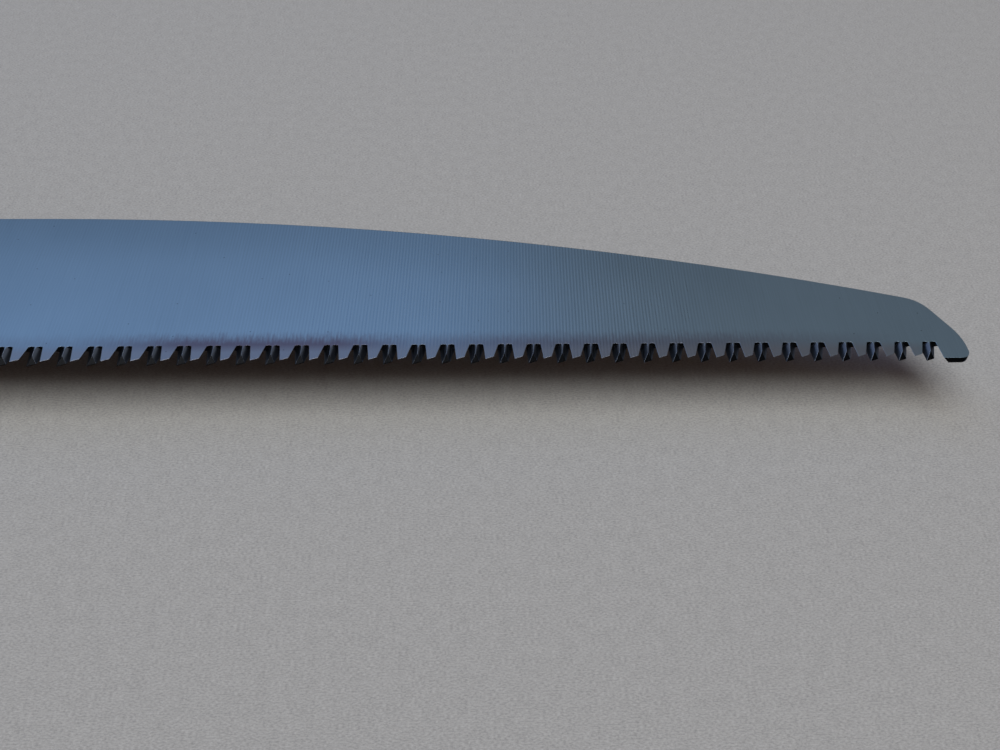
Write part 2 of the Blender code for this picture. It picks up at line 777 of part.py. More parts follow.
def cut_recess(piece):
    """Cuts the dip in the spine that the thumb pad sits in."""
    floor = lever_pin.y + RECESS_RISE
    above = spine_y + HANDLE_THICKNESS
    flare = RECESS_FLARE * (above - floor) / (spine_y - floor)
    outline = rounded([
        (RECESS_REAR_X - flare, above, 0), (RECESS_REAR_X, floor, RECESS_RADIUS),
        (RECESS_FRONT_X, floor, RECESS_RADIUS), (RECESS_FRONT_X + flare, above, 0),
    ], closed=False)
    bm = bmesh.new()
    add_prism(bm, outline, -HANDLE_THICKNESS, HANDLE_THICKNESS)
    combine(piece, "thumb_recess", bm)


def make_liners(finish, root):
    holes = [
        (0.0, 0.0, BOLT_RADIUS + RUN_GAP),
        (*lever_pin, LEVER_PIN_RADIUS + RUN_GAP),
        (*open_stop_place(), STOP_TENON_RADIUS + RUN_GAP),
        (*closed_stop_place(), STOP_TENON_RADIUS + RUN_GAP),
        *[(*place, RIVET_RADIUS + RUN_GAP) for place in rivet_places().values()],
        *[(*place, SCREW_RADIUS + RUN_GAP) for place in screw_places().values()],
    ]
    for side, sign in (("right", 1), ("left", -1)):
        bm = bmesh.new()
        add_prism(bm, rounded(handle_corners()), sign * slot_half, sign * liner_out)
        liner = node(f"liner_{side}", bm, finish, root)
        cut_recess(liner)
        drill(liner, "holes", holes)


def spacer_outline():
    """Strip between the spine and the folded tooth line."""
    spine = [(x, y - SPACER_TOP_MARGIN, radius) for x, y, radius in spine_corners()]
    fold_lean = math.tan(math.radians(180.0 - FOLD_DEG))
    rear = tongue_x + SLOT_CLEARANCE
    top_front = SPACER_FRONT_X - RECESS_FLARE
    under = tooth_reach + TOOTH_ROOM
    return rounded([
        (top_front, level_at(spine[0], spine[1], top_front), SPACER_CORNER),
        *spine[1:3],
        (rear, level_at(spine[2], spine[3], rear), SPACER_CORNER),
        (rear, under + fold_lean * rear, SPACER_CORNER),
        (SPACER_FRONT_X, under + fold_lean * SPACER_FRONT_X, SPACER_CORNER),
        (SPACER_FRONT_X, lever_pin.y + RECESS_RISE - SPACER_TOP_MARGIN, SPACER_CORNER),
    ])


def spring_levels():
    """Under side and upper side of the leaf spring."""
    top = lever_pin.y + LEVER_TAIL_UNDER - SEAT_GAP
    return top - SPRING_THICKNESS, top


def make_spacer(finish, root):
    bm = bmesh.new()
    add_prism(bm, spacer_outline(), -plate_half, plate_half)
    spacer = node("spine_spacer", bm, finish, root)
    under, top = spring_levels()
    slot = box_corners(
        SPACER_FRONT_X - SPRING_ANCHOR - SEAT_GAP, SPACER_FRONT_X + SPRING_ANCHOR,
        under - SEAT_GAP, top + SEAT_GAP,
    )
    bm = bmesh.new()
    add_prism(bm, slot, -HANDLE_THICKNESS, HANDLE_THICKNESS)
    combine(spacer, "spring_slot", bm)
    drill(spacer, "holes", [
        *[(*place, RIVET_RADIUS + RUN_GAP) for place in rivet_places().values()],
        (*screw_places()["front"], SCREW_RADIUS + RUN_GAP),
        (*screw_places()["middle"], SCREW_RADIUS + RUN_GAP),
    ])


def make_rivets(finish, root):
    for name, place in rivet_places().items():
        bm = bmesh.new()
        add_rod(bm, place, RIVET_RADIUS, -liner_out, liner_out)
        node(f"spine_rivet_{name}", bm, finish, root)


def make_stop_pin(name, place, finish, root):
    """Cross pin with a shouldered body between the plates and a riveted head outside each of them."""
    top = liner_seat + STOP_HEAD_HEIGHT
    half = [
        (STOP_PIN_RADIUS, plate_half), (STOP_TENON_RADIUS, plate_half), (STOP_TENON_RADIUS, liner_seat),
        (STOP_HEAD_RADIUS, liner_seat), (STOP_HEAD_TOP_RADIUS, top), (0, top),
    ]
    bm = bmesh.new()
    add_turned(bm, place, [(radius, -z) for radius, z in reversed(half)] + half)
    node(name, bm, finish, root)


# Lock

def lever_outline():
    """Lever with its thumb pad pressed, so that the lock tooth stands clear of the tang."""
    front, rear, out = lock_tooth(0.0)
    front = turned_by(front, LEVER_LIFT_DEG, lever_pin)
    rear = turned_by(rear, LEVER_LIFT_DEG, lever_pin)
    out = turned_by(out, LEVER_LIFT_DEG)
    x, y = lever_pin
    under = y - LEVER_ARM_DROP
    top = under + LEVER_HEIGHT
    level = Vector((1.0, 0.0))
    tooth_root = meet(rear, out, Vector((0.0, under)), level)
    front_top = meet(front, out, Vector((0.0, top)), level)
    boss = LEVER_BOSS_RADIUS
    return rounded([
        (*front, LOCK_TOOTH_CORNER),
        (*front_top, LEVER_CORNER),
        (x + boss, top, LEVER_BEND_RADIUS),
        (x, y + boss, LEVER_BEND_RADIUS),
        (x - LEVER_NECK_BACK, y + boss, LEVER_BEND_RADIUS),
        (x - LEVER_TAIL_FRONT_TOP, y + LEVER_TAIL_TOP, LEVER_CORNER),
        (LEVER_TAIL_END, y + LEVER_TAIL_TOP, LEVER_CORNER),
        (LEVER_TAIL_END, y + LEVER_TAIL_UNDER, LEVER_CORNER / 2),
        (x - LEVER_TAIL_FRONT_UNDER, y + LEVER_TAIL_UNDER, LEVER_CORNER),
        (x - boss, y - boss, LEVER_BOSS_CORNER),
        (x + boss, y - boss, LEVER_BOSS_CORNER),
        (x + LEVER_ARM_START, under, LEVER_BEND_RADIUS),
        (*tooth_root, LEVER_CORNER),
        (*rear, LOCK_TOOTH_CORNER),
    ])


def make_lever(finish, axis):
    bm = bmesh.new()
    add_prism(bm, lever_outline(), -plate_half, plate_half)
    lever = node("lock_lever", bm, finish, axis, lever_pin)
    drill(lever, "pin_hole", [(*lever_pin, LEVER_PIN_RADIUS + RUN_GAP)], lever_pin)


def pad_corners():
    """Side view of the thumb pad: a level run that ramps up to a stop for the thumb at the rear."""
    y = lever_pin.y
    return [
        (PAD_FRONT_X, y + PAD_UNDER, PAD_UNDER_RADIUS),
        (PAD_FRONT_X - PAD_FRONT_LEAN, y + PAD_FRONT_TOP, PAD_FRONT_RADIUS),
        (PAD_REAR_X + PAD_RAMP, y + PAD_FRONT_TOP, PAD_RAMP_RADIUS),
        (PAD_REAR_X + PAD_REAR_LEAN, y + PAD_REAR_TOP, PAD_REAR_RADIUS),
        (PAD_REAR_X, y + PAD_UNDER, PAD_UNDER_RADIUS),
    ]


def make_thumb_pad(finish, axis):
    corners = pad_corners()
    under_edge = -1
    share = [1.0] * len(corners)
    share[under_edge] = 0.0
    bm = bmesh.new()
    add_twin_loft(bm, rolled_rings(corners, share, PAD_EDGE, PAD_EDGE, PAD_WIDTH / 2, EDGE_STEPS))
    pad = node("thumb_pad", bm, finish, axis, lever_pin)
    slot = box_corners(
        LEVER_TAIL_END - FACE_GAP, PAD_FRONT_X + PAD_UNDER,
        lever_pin.y - PAD_UNDER, lever_pin.y + LEVER_TAIL_TOP + FACE_GAP,
    )
    bm = bmesh.new()
    add_prism(bm, slot, -slot_half, slot_half)
    combine(pad, "tail_slot", bm, origin=lever_pin)
    bm = bmesh.new()
    for i in range(PAD_GROOVES):
        place = (PAD_FRONT_X - PAD_GROOVE_START - i * PAD_GROOVE_PITCH, lever_pin.y + PAD_FRONT_TOP)
        add_rod(bm, place, PAD_GROOVE_RADIUS, -PAD_WIDTH, PAD_WIDTH, GROOVE_SIDES)
    combine(pad, "thumb_grooves", bm, origin=lever_pin)


def make_lever_pin(finish, root):
    bm = bmesh.new()
    add_rod(bm, lever_pin, LEVER_PIN_RADIUS, -liner_out, liner_out)
    node("lever_pin", bm, finish, root)


def make_lock_spring(finish, root):
    under, top = spring_levels()
    rear = SPACER_FRONT_X - SPRING_ANCHOR
    outline = rounded([
        (SPRING_FRONT_X, top, SPRING_END_RADIUS), (rear, top, 0),
        (rear, under, 0), (SPRING_FRONT_X, under, SPRING_END_RADIUS),
    ])
    bm = bmesh.new()
    add_prism(bm, outline, -plate_half + FACE_GAP, plate_half - FACE_GAP)
    node("lock_spring", bm, finish, root)


# Grip

def grip_rings(sign):
    """Rings of one scale from the plate outwards: an upright wall that rolls over to a flat face."""
    corners = grip_corners()
    share = [1.0] * len(corners)
    rear_edge = 4
    front_edge = -1
    share[rear_edge] = GRIP_REAR_ROUND / GRIP_ROUND
    share[front_edge] = GRIP_FRONT_ROUND / GRIP_ROUND
    rings = rolled_rings(corners, share, GRIP_ROUND, GRIP_ROUND_HEIGHT, grip_out, ROUND_STEPS)
    return [ring_at(rounded(corners), sign * grip_in)] + [ring_at(outline, sign * z) for outline, z in rings]


def screw_seat(sign):
    """Profile of the hole for one screw: head side on the right scale, nut side on the left one."""
    hole = SCREW_RADIUS + RUN_GAP
    beyond = grip_out + SCREW_SINK
    if sign > 0:
        wide = SCREW_HEAD_RADIUS + FACE_GAP
        rim = grip_out - SCREW_SINK - SCREW_HEAD_RIM - FACE_GAP
        cone = rim - (wide - hole)
        return [(0, 0), (hole, 0), (hole, cone), (wide, rim), (wide, beyond), (0, beyond)]
    wide = NUT_RADIUS + FACE_GAP
    floor = -(grip_out - NUT_SINK - NUT_HEIGHT - FACE_GAP)
    return [(0, 0), (hole, 0), (hole, floor), (wide, floor, 6), (wide, -beyond, 6), (0, -beyond)]


def make_grip(side, sign, finish, root):
    bm = bmesh.new()
    add_loft(bm, grip_rings(sign))
    grip = node(f"grip_{side}", bm, finish, root)
    cut_recess(grip)
    outline = inlay_corners()
    pocket = rounded(inset(outline, [-SEAT_GAP] * len(outline)))
    bm = bmesh.new()
    add_prism(bm, pocket, sign * (grip_out - INLAY_DEPTH), sign * (grip_out + INLAY_DEPTH))
    combine(grip, "inlay_pocket", bm)
    bm = bmesh.new()
    for place in screw_places().values():
        add_turned(bm, place, screw_seat(sign))
    combine(grip, "screw_seats", bm)


def make_inlay(side, sign, finish, root):
    face = grip_out - INLAY_SINK
    floor = grip_out - INLAY_DEPTH + FACE_GAP
    bm = bmesh.new()
    add_prism(bm, rounded(inlay_corners()), sign * floor, sign * face)
    inlay = node(f"grip_pad_{side}", bm, finish, root)
    combine(inlay, "grooves", groove_bars(sign, face - INLAY_GROOVE_DEPTH, grip_out + INLAY_DEPTH))


def groove_bars(sign, low, high):
    """Slanted bars that cut the grip grooves of an inlay."""
    start = rear_x + INLAY_REAR_BACK
    count = round((INLAY_FRONT_X - start) / INLAY_GROOVE_PITCH) - 1
    reach = 2 * INLAY_TOP_Y
    lean = math.tan(math.radians(INLAY_GROOVE_LEAN_DEG)) * reach
    half = INLAY_GROOVE_WIDTH / 2
    bm = bmesh.new()
    for i in range(1, count + 1):
        x = start + i * INLAY_GROOVE_PITCH
        outline = [
            Vector((x + lean - half, reach)), Vector((x - lean - half, -reach)),
            Vector((x - lean + half, -reach)), Vector((x + lean + half, reach)),
        ]
        add_prism(bm, outline, sign * low, sign * high)
    return bm


def make_screw(name, place, finish, root):
    top = grip_out - SCREW_SINK
    rim = top - SCREW_HEAD_RIM
    cone = rim - (SCREW_HEAD_RADIUS - SCREW_RADIUS)
    socket = top - SCREW_SOCKET_DEPTH
    end = -(grip_out - NUT_SINK)
    bm = bmesh.new()
    add_turned(bm, place, [
        (0, end), (SCREW_RADIUS, end), (SCREW_RADIUS, cone), (SCREW_HEAD_RADIUS, rim),
        (SCREW_HEAD_RADIUS, top), (SCREW_SOCKET_RADIUS, top, 6), (SCREW_SOCKET_RADIUS, socket, 6),
        (0, socket),
    ])
    node(f"handle_screw_{name}", bm, finish, root)


def make_nut(name, place, finish, root):
    hole = SCREW_RADIUS + RUN_GAP
    low = -(grip_out - NUT_SINK)
    high = low + NUT_HEIGHT
    bm = bmesh.new()
    profile = [(hole, low), (NUT_RADIUS, low, 6), (NUT_RADIUS, high, 6), (hole, high)]
    add_turned(bm, place, profile, hollow=True)
    node(f"handle_nut_{name}", bm, finish, root)


def make_end_loop(finish, root):
    """End piece: a rounded loop behind the plates, with a tongue that the rear screw holds between them."""
    top = handle_corners()[4][1] - GRIP_REVEAL
    bottom = HOOK_Y + 2 * GRIP_REVEAL
    end = loop_x - LOOP_LENGTH
    corners = [
        (loop_x, top, SPINE_END_RADIUS),
        (end + LOOP_SHOULDER_BACK, top - LOOP_SHOULDER_DROP, LOOP_CORNER),
        (end, 0.0, LOOP_CORNER),
        (end + LOOP_SHOULDER_BACK, bottom, LOOP_CORNER),
        (loop_x, bottom, SPINE_END_RADIUS),
    ]
    joint_edge = -1
    share = [1.0] * len(corners)
    share[joint_edge] = LOOP_JOINT_ROUND / LOOP_EDGE
    bm = bmesh.new()
    add_twin_loft(bm, rolled_rings(corners, share, LOOP_EDGE, LOOP_EDGE, LOOP_HALF_THICKNESS, ROUND_STEPS))
    loop = node("end_loop", bm, finish, root)
    bm = bmesh.new()
    inside = loop_x - TONGUE_MARGIN
    add_prism(bm, rounded([
        (tongue_x, top - TONGUE_MARGIN, TONGUE_CORNER), (inside, top - TONGUE_MARGIN, 0),
        (inside, bottom + TONGUE_MARGIN, 0), (tongue_x, bottom + TONGUE_MARGIN, TONGUE_CORNER),
    ]), -plate_half, plate_half)
    combine(loop, "tongue", bm, "UNION")
    cut_hanging_hole(loop)
    drill(loop, "screw_hole", [(*screw_places()["rear"], SCREW_RADIUS + RUN_GAP)])


def cut_hanging_hole(loop):
    middle = loop_x - HOLE_BACK
    half_width = HOLE_WIDTH / 2
    half_length = HOLE_LENGTH / 2
    ends = box_corners(middle - half_width, middle + half_width, HOLE_Y - half_length, HOLE_Y + half_length)
    bm = bmesh.new()
    add_prism(bm, rounded([(*corner, half_width) for corner in ends]), -HANDLE_THICKNESS, HANDLE_THICKNESS)
    combine(loop, "hanging_hole", bm)


def rest_on_side(root):
    """Moves the saw so that the origin is under the middle of its box, on the surface it lies on."""
    bpy.context.view_layer.update()
    graph = bpy.context.evaluated_depsgraph_get()
    corners = []
    for piece in bpy.context.scene.objects:
        if piece.type == "MESH" and not piece.hide_render:
            ready = piece.evaluated_get(graph)
            corners += [ready.matrix_world @ Vector(corner) for corner in ready.bound_box]
    low = Vector([min(corner[i] for corner in corners) for i in range(3)])
    high = Vector([max(corner[i] for corner in corners) for i in range(3)])
    middle = (low + high) / 2
    root.location = (-middle.x, -middle.y, -low.z)


def main():
    for old in list(bpy.data.objects):
        bpy.data.objects.remove(old, do_unlink=True)
    blade_steel = material("blade_steel", (0.10, 0.12, 0.15), 0.38, 1.0)
    frame_steel = material("frame_steel", (0.22, 0.23, 0.24), 0.35, 1.0)
    fastener_steel = material("fastener_steel", (0.40, 0.41, 0.42), 0.30, 1.0)
    bronze = material("bronze", (0.45, 0.30, 0.14), 0.40, 1.0)
    nylon = material("nylon", (0.02, 0.02, 0.022), 0.50, 0.0)
    moulded = material("moulded_grip", (0.025, 0.027, 0.03), 0.55, 0.0)
    soft = material("soft_grip", (0.09, 0.095, 0.10), 0.80, 0.0)
    pad_plastic = material("thumb_pad_plastic", (0.04, 0.042, 0.045), 0.60, 0.0)

    root = empty("saw")
    blade_axis = empty("blade_axis", root)
    lever_axis = empty("lever_axis", root, (*lever_pin, 0.0))
    make_blade(blade_steel, blade_axis)
    make_bush(bronze, root)
    make_washers(bronze, root)
    make_spring_washer(fastener_steel, root)
    make_pivot_bolt(fastener_steel, root)
    make_pivot_nut(fastener_steel, root)
    make_liners(frame_steel, root)
    make_spacer(nylon, root)
    make_rivets(fastener_steel, root)
    make_stop_pin("open_stop_pin", open_stop_place(), fastener_steel, root)
    make_stop_pin("closed_stop_pin", closed_stop_place(), fastener_steel, root)
    make_lever(frame_steel, lever_axis)
    make_thumb_pad(pad_plastic, lever_axis)
    make_lever_pin(fastener_steel, root)
    make_lock_spring(fastener_steel, root)
    for side, sign in (("right", 1), ("left", -1)):
        make_grip(side, sign, moulded, root)
        make_inlay(side, sign, soft, root)
    for name, place in screw_places().items():
        make_screw(name, place, fastener_steel, root)
        make_nut(name, place, fastener_steel, root)
    make_end_loop(moulded, root)
    rest_on_side(root)


main()
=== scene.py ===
import json
import math

import bmesh
import bpy
import numpy as np
from mathutils import Matrix, Quaternion, Vector


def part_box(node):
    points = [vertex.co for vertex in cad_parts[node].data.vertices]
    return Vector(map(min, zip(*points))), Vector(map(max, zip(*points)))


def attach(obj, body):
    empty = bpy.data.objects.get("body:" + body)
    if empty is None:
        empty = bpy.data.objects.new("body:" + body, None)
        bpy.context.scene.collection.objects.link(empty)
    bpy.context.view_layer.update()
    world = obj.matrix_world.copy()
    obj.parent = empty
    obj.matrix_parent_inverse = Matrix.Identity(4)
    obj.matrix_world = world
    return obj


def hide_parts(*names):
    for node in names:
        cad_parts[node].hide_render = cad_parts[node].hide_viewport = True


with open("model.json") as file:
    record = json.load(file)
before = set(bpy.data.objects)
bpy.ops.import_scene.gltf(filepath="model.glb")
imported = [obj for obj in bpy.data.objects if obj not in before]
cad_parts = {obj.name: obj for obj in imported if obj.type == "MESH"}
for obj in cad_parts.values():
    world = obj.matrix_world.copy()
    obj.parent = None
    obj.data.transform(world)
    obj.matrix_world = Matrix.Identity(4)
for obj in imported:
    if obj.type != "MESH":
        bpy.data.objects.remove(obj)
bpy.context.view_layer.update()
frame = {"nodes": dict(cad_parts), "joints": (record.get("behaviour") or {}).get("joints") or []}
mm = 0.001
nodes = frame["nodes"]
jointPlace = {joint["name"]: Vector(joint["pos_m"]) for joint in frame["joints"]}
pivot = jointPlace["blade_fold"]
print("frame loaded:", len(nodes), "nodes")


# small helpers for materials

def hexLinear(text):  # sRGB hex to linear, by the piecewise sRGB curve
    codes = np.array([int(text[i:i + 2], 16) for i in (1, 3, 5)]) / 255
    linear = np.where(codes <= 0.04045, codes / 12.92, ((codes + 0.055) / 1.055) ** 2.4)
    return (*linear.tolist(), 1.0)


def addNode(tree, kind, inputs=None, stops=None, **settings):
    node = tree.nodes.new("ShaderNode" + kind)
    for name, value in settings.items():
        setattr(node, name, value)
    for name, value in (inputs or {}).items():
        if isinstance(value, bpy.types.NodeSocket):
            tree.links.new(value, node.inputs[name])
        else:
            node.inputs[name].default_value = value
    for i, (place, colour) in enumerate(stops or []):
        ramp = node.color_ramp.elements
        stop = ramp[i] if i < 2 else ramp.new(place)
        stop.position = place
        stop.color = colour
    return node


def newMaterial(name):
    material = bpy.data.materials.new(name)
    material.use_nodes = True
    material.node_tree.nodes.clear()
    return material, material.node_tree


def dress(material, *names):
    for name in names:
        mesh = nodes[name].data
        mesh.materials.clear()
        mesh.materials.append(material)


# camera at the photo's angle, placed from the blade pivot

cameraFit = {
    "fromPivot": (0.10462, -0.14413, 0.13392),
    "downDeg": 46.79,
    "yawDeg": 3.93,
    "rollDeg": 2.46,
    "lensMm": 39.6,
    "sensorMm": 36,
    "nearestSeen": 0.01,  # m
}


def makeCamera(fit):
    # ahead is the unit vector of yaw and tilt, right is level before the roll turns it about ahead, and up is
    # right cross ahead
    down, yaw, roll = (math.radians(fit[key]) for key in ("downDeg", "yawDeg", "rollDeg"))
    ahead = Vector((math.sin(yaw) * math.cos(down), math.cos(yaw) * math.cos(down), -math.sin(down)))
    right = Vector((math.cos(yaw), -math.sin(yaw), 0))
    turn = Matrix.Rotation(-roll, 3, ahead)
    right = turn @ right
    up = right.cross(ahead)
    data = bpy.data.cameras.new("photoCamera")
    data.sensor_width = fit["sensorMm"]
    data.lens = fit["lensMm"]
    data.clip_start = fit["nearestSeen"]
    camera = bpy.data.objects.new("photoCamera", data)
    axes = Matrix((right, up, -ahead)).transposed()
    camera.matrix_world = Matrix.Translation(pivot + Vector(fit["fromPivot"])) @ axes.to_4x4()
    bpy.context.collection.objects.link(camera)
    bpy.context.scene.camera = camera


makeCamera(cameraFit)
print("camera set")


# floor, world and lights

studio = {
    "floorHalf": 4.0,
    "floorColour": "#9EA2A3",
    "fibreMm": (0.5, 0.24),  # length and width of a fibre, coarse enough to show
    "mottleMm": 2.2,
    "mottleDepth": 0.16,  # beside the fibres
    "pulpRange": (0.38, 0.78),  # of fibres and mottle together
    "pulpTone": (0.74, 1.26),  # times the floor's colour, at the ends of that range
    "paperRoughness": 0.9,
    "fadeFrom": 0.45,  # m from the saw, where the floor starts to run out into the backdrop
    "fadeTo": 1.3,
    "seenColour": "#F2F5FA",  # the backdrop, and what the blade mirrors
    "seenStrength": 0.39,
    "fillColour": "#FFB27A",  # what fills the shadows
    "fillStrength": 0.12,
    "aimAlong": 0.1,  # m along the blade from its pivot, where the lamps point
}

lamps = {  # azimuth from straight behind the blade, and distance and size in m
    "coolWindow": {
        "azimuth": -38, "elevation": 52.5, "roll": -24, "away": 1.3, "size": (1.4, 0.9),
        "radiance": 1.0, "colour": "#90BBF4"},
    "overhead": {
        "azimuth": 180, "elevation": 80, "roll": 0, "away": 1.3, "size": (1.2, 1.1),
        "radiance": 3.8, "colour": "#FFFCF8"},
}


def backgroundRay(tree):  # 1 for what is seen, straight or mirrored, and 0 for what lights
    ray = addNode(tree, "LightPath")
    clear = addNode(tree, "Math", {
        0: ray.outputs["Is Camera Ray"], 1: ray.outputs["Is Transmission Ray"]}, operation="MAXIMUM")
    return addNode(tree, "Math", {0: clear.outputs[0], 1: ray.outputs["Is Glossy Ray"]}, operation="MAXIMUM")


def makeFloor(setup):
    # matt laid paper: pale and even, with a soft grain of fibres, running out into the backdrop far away
    half = setup["floorHalf"]
    mesh = bpy.data.meshes.new("studioFloor")
    corners = [(-half, -half, 0), (half, -half, 0), (half, half, 0), (-half, half, 0)]
    mesh.from_pydata(corners, [], [(0, 1, 2, 3)])
    floor = bpy.data.objects.new("studioFloor", mesh)
    bpy.context.collection.objects.link(floor)
    material, tree = newMaterial("matt_paper_floor")
    where = addNode(tree, "TexCoord")
    length, width = setup["fibreMm"]
    laid = addNode(tree, "Mapping", {
        "Vector": where.outputs["Object"], "Scale": (1 / (length * mm), 1 / (width * mm), 1)})
    fibre = addNode(tree, "TexNoise", {
        "Vector": laid.outputs["Vector"], "Scale": 1, "Detail": 3, "Roughness": 0.7})
    mottle = addNode(tree, "TexNoise", {
        "Vector": where.outputs["Object"], "Scale": 1 / (setup["mottleMm"] * mm), "Detail": 3})
    pulp = addNode(tree, "Math", {
        0: mottle.outputs["Fac"], 1: setup["mottleDepth"], 2: fibre.outputs["Fac"]}, operation="MULTIPLY_ADD")
    base = np.array(hexLinear(setup["floorColour"]))
    tone = addNode(tree, "ValToRGB", {"Fac": pulp.outputs[0]}, stops=[
        (place, shade * base) for place, shade in zip(setup["pulpRange"], setup["pulpTone"])])
    paper = addNode(tree, "BsdfPrincipled", {
        "Base Color": tone.outputs["Color"], "Roughness": setup["paperRoughness"]})
    away = addNode(tree, "VectorMath", {0: where.outputs["Object"]}, operation="LENGTH")
    faded = addNode(tree, "MapRange", {
        "Value": away.outputs["Value"], "From Min": setup["fadeFrom"], "From Max": setup["fadeTo"]},
        interpolation_type="SMOOTHSTEP")
    farSeen = addNode(tree, "Math", {
        0: faded.outputs["Result"], 1: backgroundRay(tree).outputs[0]}, operation="MULTIPLY")
    backdrop = addNode(tree, "Emission", {
        "Color": hexLinear(setup["seenColour"]), "Strength": setup["seenStrength"]})
    sweep = addNode(tree, "MixShader", {
        0: farSeen.outputs[0], 1: paper.outputs["BSDF"], 2: backdrop.outputs["Emission"]})
    addNode(tree, "OutputMaterial", {"Surface": sweep.outputs["Shader"]})
    mesh.materials.append(material)


def makeLight(setup):
    world = bpy.data.worlds.new("softStudio")
    world.use_nodes = True
    tree = world.node_tree
    tree.nodes.clear()
    seen = addNode(tree, "Background", {
        "Color": hexLinear(setup["seenColour"]), "Strength": setup["seenStrength"]})
    fill = addNode(tree, "Background", {
        "Color": hexLinear(setup["fillColour"]), "Strength": setup["fillStrength"]})
    both = addNode(tree, "MixShader", {
        0: backgroundRay(tree).outputs[0], 1: fill.outputs["Background"], 2: seen.outputs["Background"]})
    addNode(tree, "OutputWorld", {"Surface": both.outputs["Shader"]})
    bpy.context.scene.world = world
    target = pivot + Vector((setup["aimAlong"], 0, 0))
    for name, lamp in lamps.items():
        side, rise = math.radians(lamp["azimuth"]), math.radians(lamp["elevation"])
        toLamp = Vector((math.sin(side) * math.cos(rise), math.cos(side) * math.cos(rise), math.sin(rise)))
        data = bpy.data.lights.new(name, "AREA")
        data.shape = "RECTANGLE"
        data.size, data.size_y = lamp["size"]
        data.energy = lamp["radiance"] * math.pi * data.size * data.size_y  # watts of an even panel
        data.color = hexLinear(lamp["colour"])[:3]
        light = bpy.data.objects.new(name, data)
        light.location = target + toLamp * lamp["away"]
        roll = Quaternion((0, 0, 1), math.radians(lamp["roll"]))
        light.rotation_euler = (toLamp.to_track_quat("Z", "Y") @ roll).to_euler()
        bpy.context.collection.objects.link(light)
    bpy.context.scene.view_settings.view_transform = "Standard"


makeFloor(studio)
makeLight(studio)
print("floor and lights set")


# blade: high-carbon saw steel, ground across its width, teeth hardened by a heat pulse
# the eye sees a satin slate blue with fine even cross lines, and a ragged brown-violet tint above teeth in
# painted shade

bladeLook = {
    "steel": "#7E919F",
    "steelDark": "#6C7E8B",
    "steelRange": (0.0, 0.5),  # sum of the patterns, from dark to pale steel
    "tint": "#574D58",
    "toothFace": "#72757D",
    # painted shade on faces steep to the blade's face, where the steel mirrors dark surroundings
    "paintedFlankShade": "#646B78",
    "edge": "#141517",  # oxide specks, and painted shadow on faces that look down the teeth
    "glance": "#B4B5B8",  # an oxide film dulls the steel at glancing angles
    "roughness": 0.3,
    "roughSpread": (-0.04, 0.05),
    "groundRange": (-0.1, 0.4),  # of lines and scratches together
    "bumpMm": 0.02,
    "bumpStrength": 0.1,
    "ridgeMm": 0.12,  # how far the ground edges are rounded over
    # grinding lines: spacing along the blade, and where they come up and die out, in mm from the pivot
    "lineMm": 0.57,
    "lineLeanDeg": 2.5,
    "lineFrom": (60, 97),
    "lineTo": (138, 166),
    "lineDepth": (0.1, 0.36),  # before they come up, and in full
    "lineLeft": 0.05,  # share left where they have died out
    "lineWaver": 0.5,
    "scratchMm": 0.2,
    "scratchLengthMm": 14,
    "scratchDepth": 0.28,
    "cloudMm": 24,
    "cloudDepth": 0.28,
    # darker band along the back: painted shade, standing in for the back mirroring less light
    "backMm": 15,
    "backPaintedShade": 0.22,
    "backFromX": 30,  # mm from the pivot, ahead of the tang
    "backOverGullets": 1,  # mm, so that no tooth counts as back
    "backPlaces": 9,
    # heat tint: full below the first height above the gullets, gone at the second, torn at its edge by streaks
    "gulletY": -12.0,  # gullet line seen from the pivot, in mm
    "tintMm": (0.2, 3.6),
    "tintDepth": 0.9,
    "tornMm": 4.0,
    "streakMm": (0.45, 2.4),
    "tintAlong": [  # strength, by mm from the pivot
        (42, 0.25), (60, 1), (86, 1), (99, 0.45), (118, 0.7), (150, 0.6), (172, 0.25), (186, 0)],
    # tooth faces: full at the first height over the gullets, gone at the second
    "toothMm": (-1.5, 0.2),
    "toothDepth": 0.85,
    "landMm": (183, 190),  # where the teeth end and the plain land begins
    # small oxide specks
    "speckMm": 6.5,  # spacing
    "speckRadiusMm": 0.17,
    "speckCore": 0.3,  # share of the radius that is darkest
    "speckDepth": 0.5,
    "speckAbove": 0.67,  # random value above which one shows, so that a third do
    # how far a face has turned from the flat of the blade, by its normal, to get painted shade or painted
    # shadow
    "flankZ": (0.85, 0.98),
    "edgeY": (-0.45, -0.25),
}


def backHeights(look):  # rows of x from the pivot and height of the back over the gullets, in mm
    mesh = nodes["blade"].data
    flat = np.empty(3 * len(mesh.vertices))
    mesh.vertices.foreach_get("co", flat)
    points = (flat.reshape(-1, 3) - np.array(pivot)) / mm
    lowest = look["gulletY"] + look["backOverGullets"]
    rim = points[(points[:, 0] > look["backFromX"]) & (points[:, 1] > lowest)]
    rim = rim[np.argsort(rim[:, 0])]
    x = np.linspace(rim[0, 0], look["landMm"][0], look["backPlaces"])
    return np.column_stack((x, np.interp(x, rim[:, 0], rim[:, 1]) - look["gulletY"]))


def alongBlade(tree, split, rows):
    # a value set by rows of x and value, straight between them, and x in mm from the pivot
    reach = rows[-1][0]
    share = addNode(tree, "Math", {0: split.outputs["X"], 1: reach * mm}, operation="DIVIDE")
    return addNode(tree, "ValToRGB", {"Fac": share.outputs[0]}, stops=[
        (x / reach, (value, value, value, 1)) for x, value in rows])


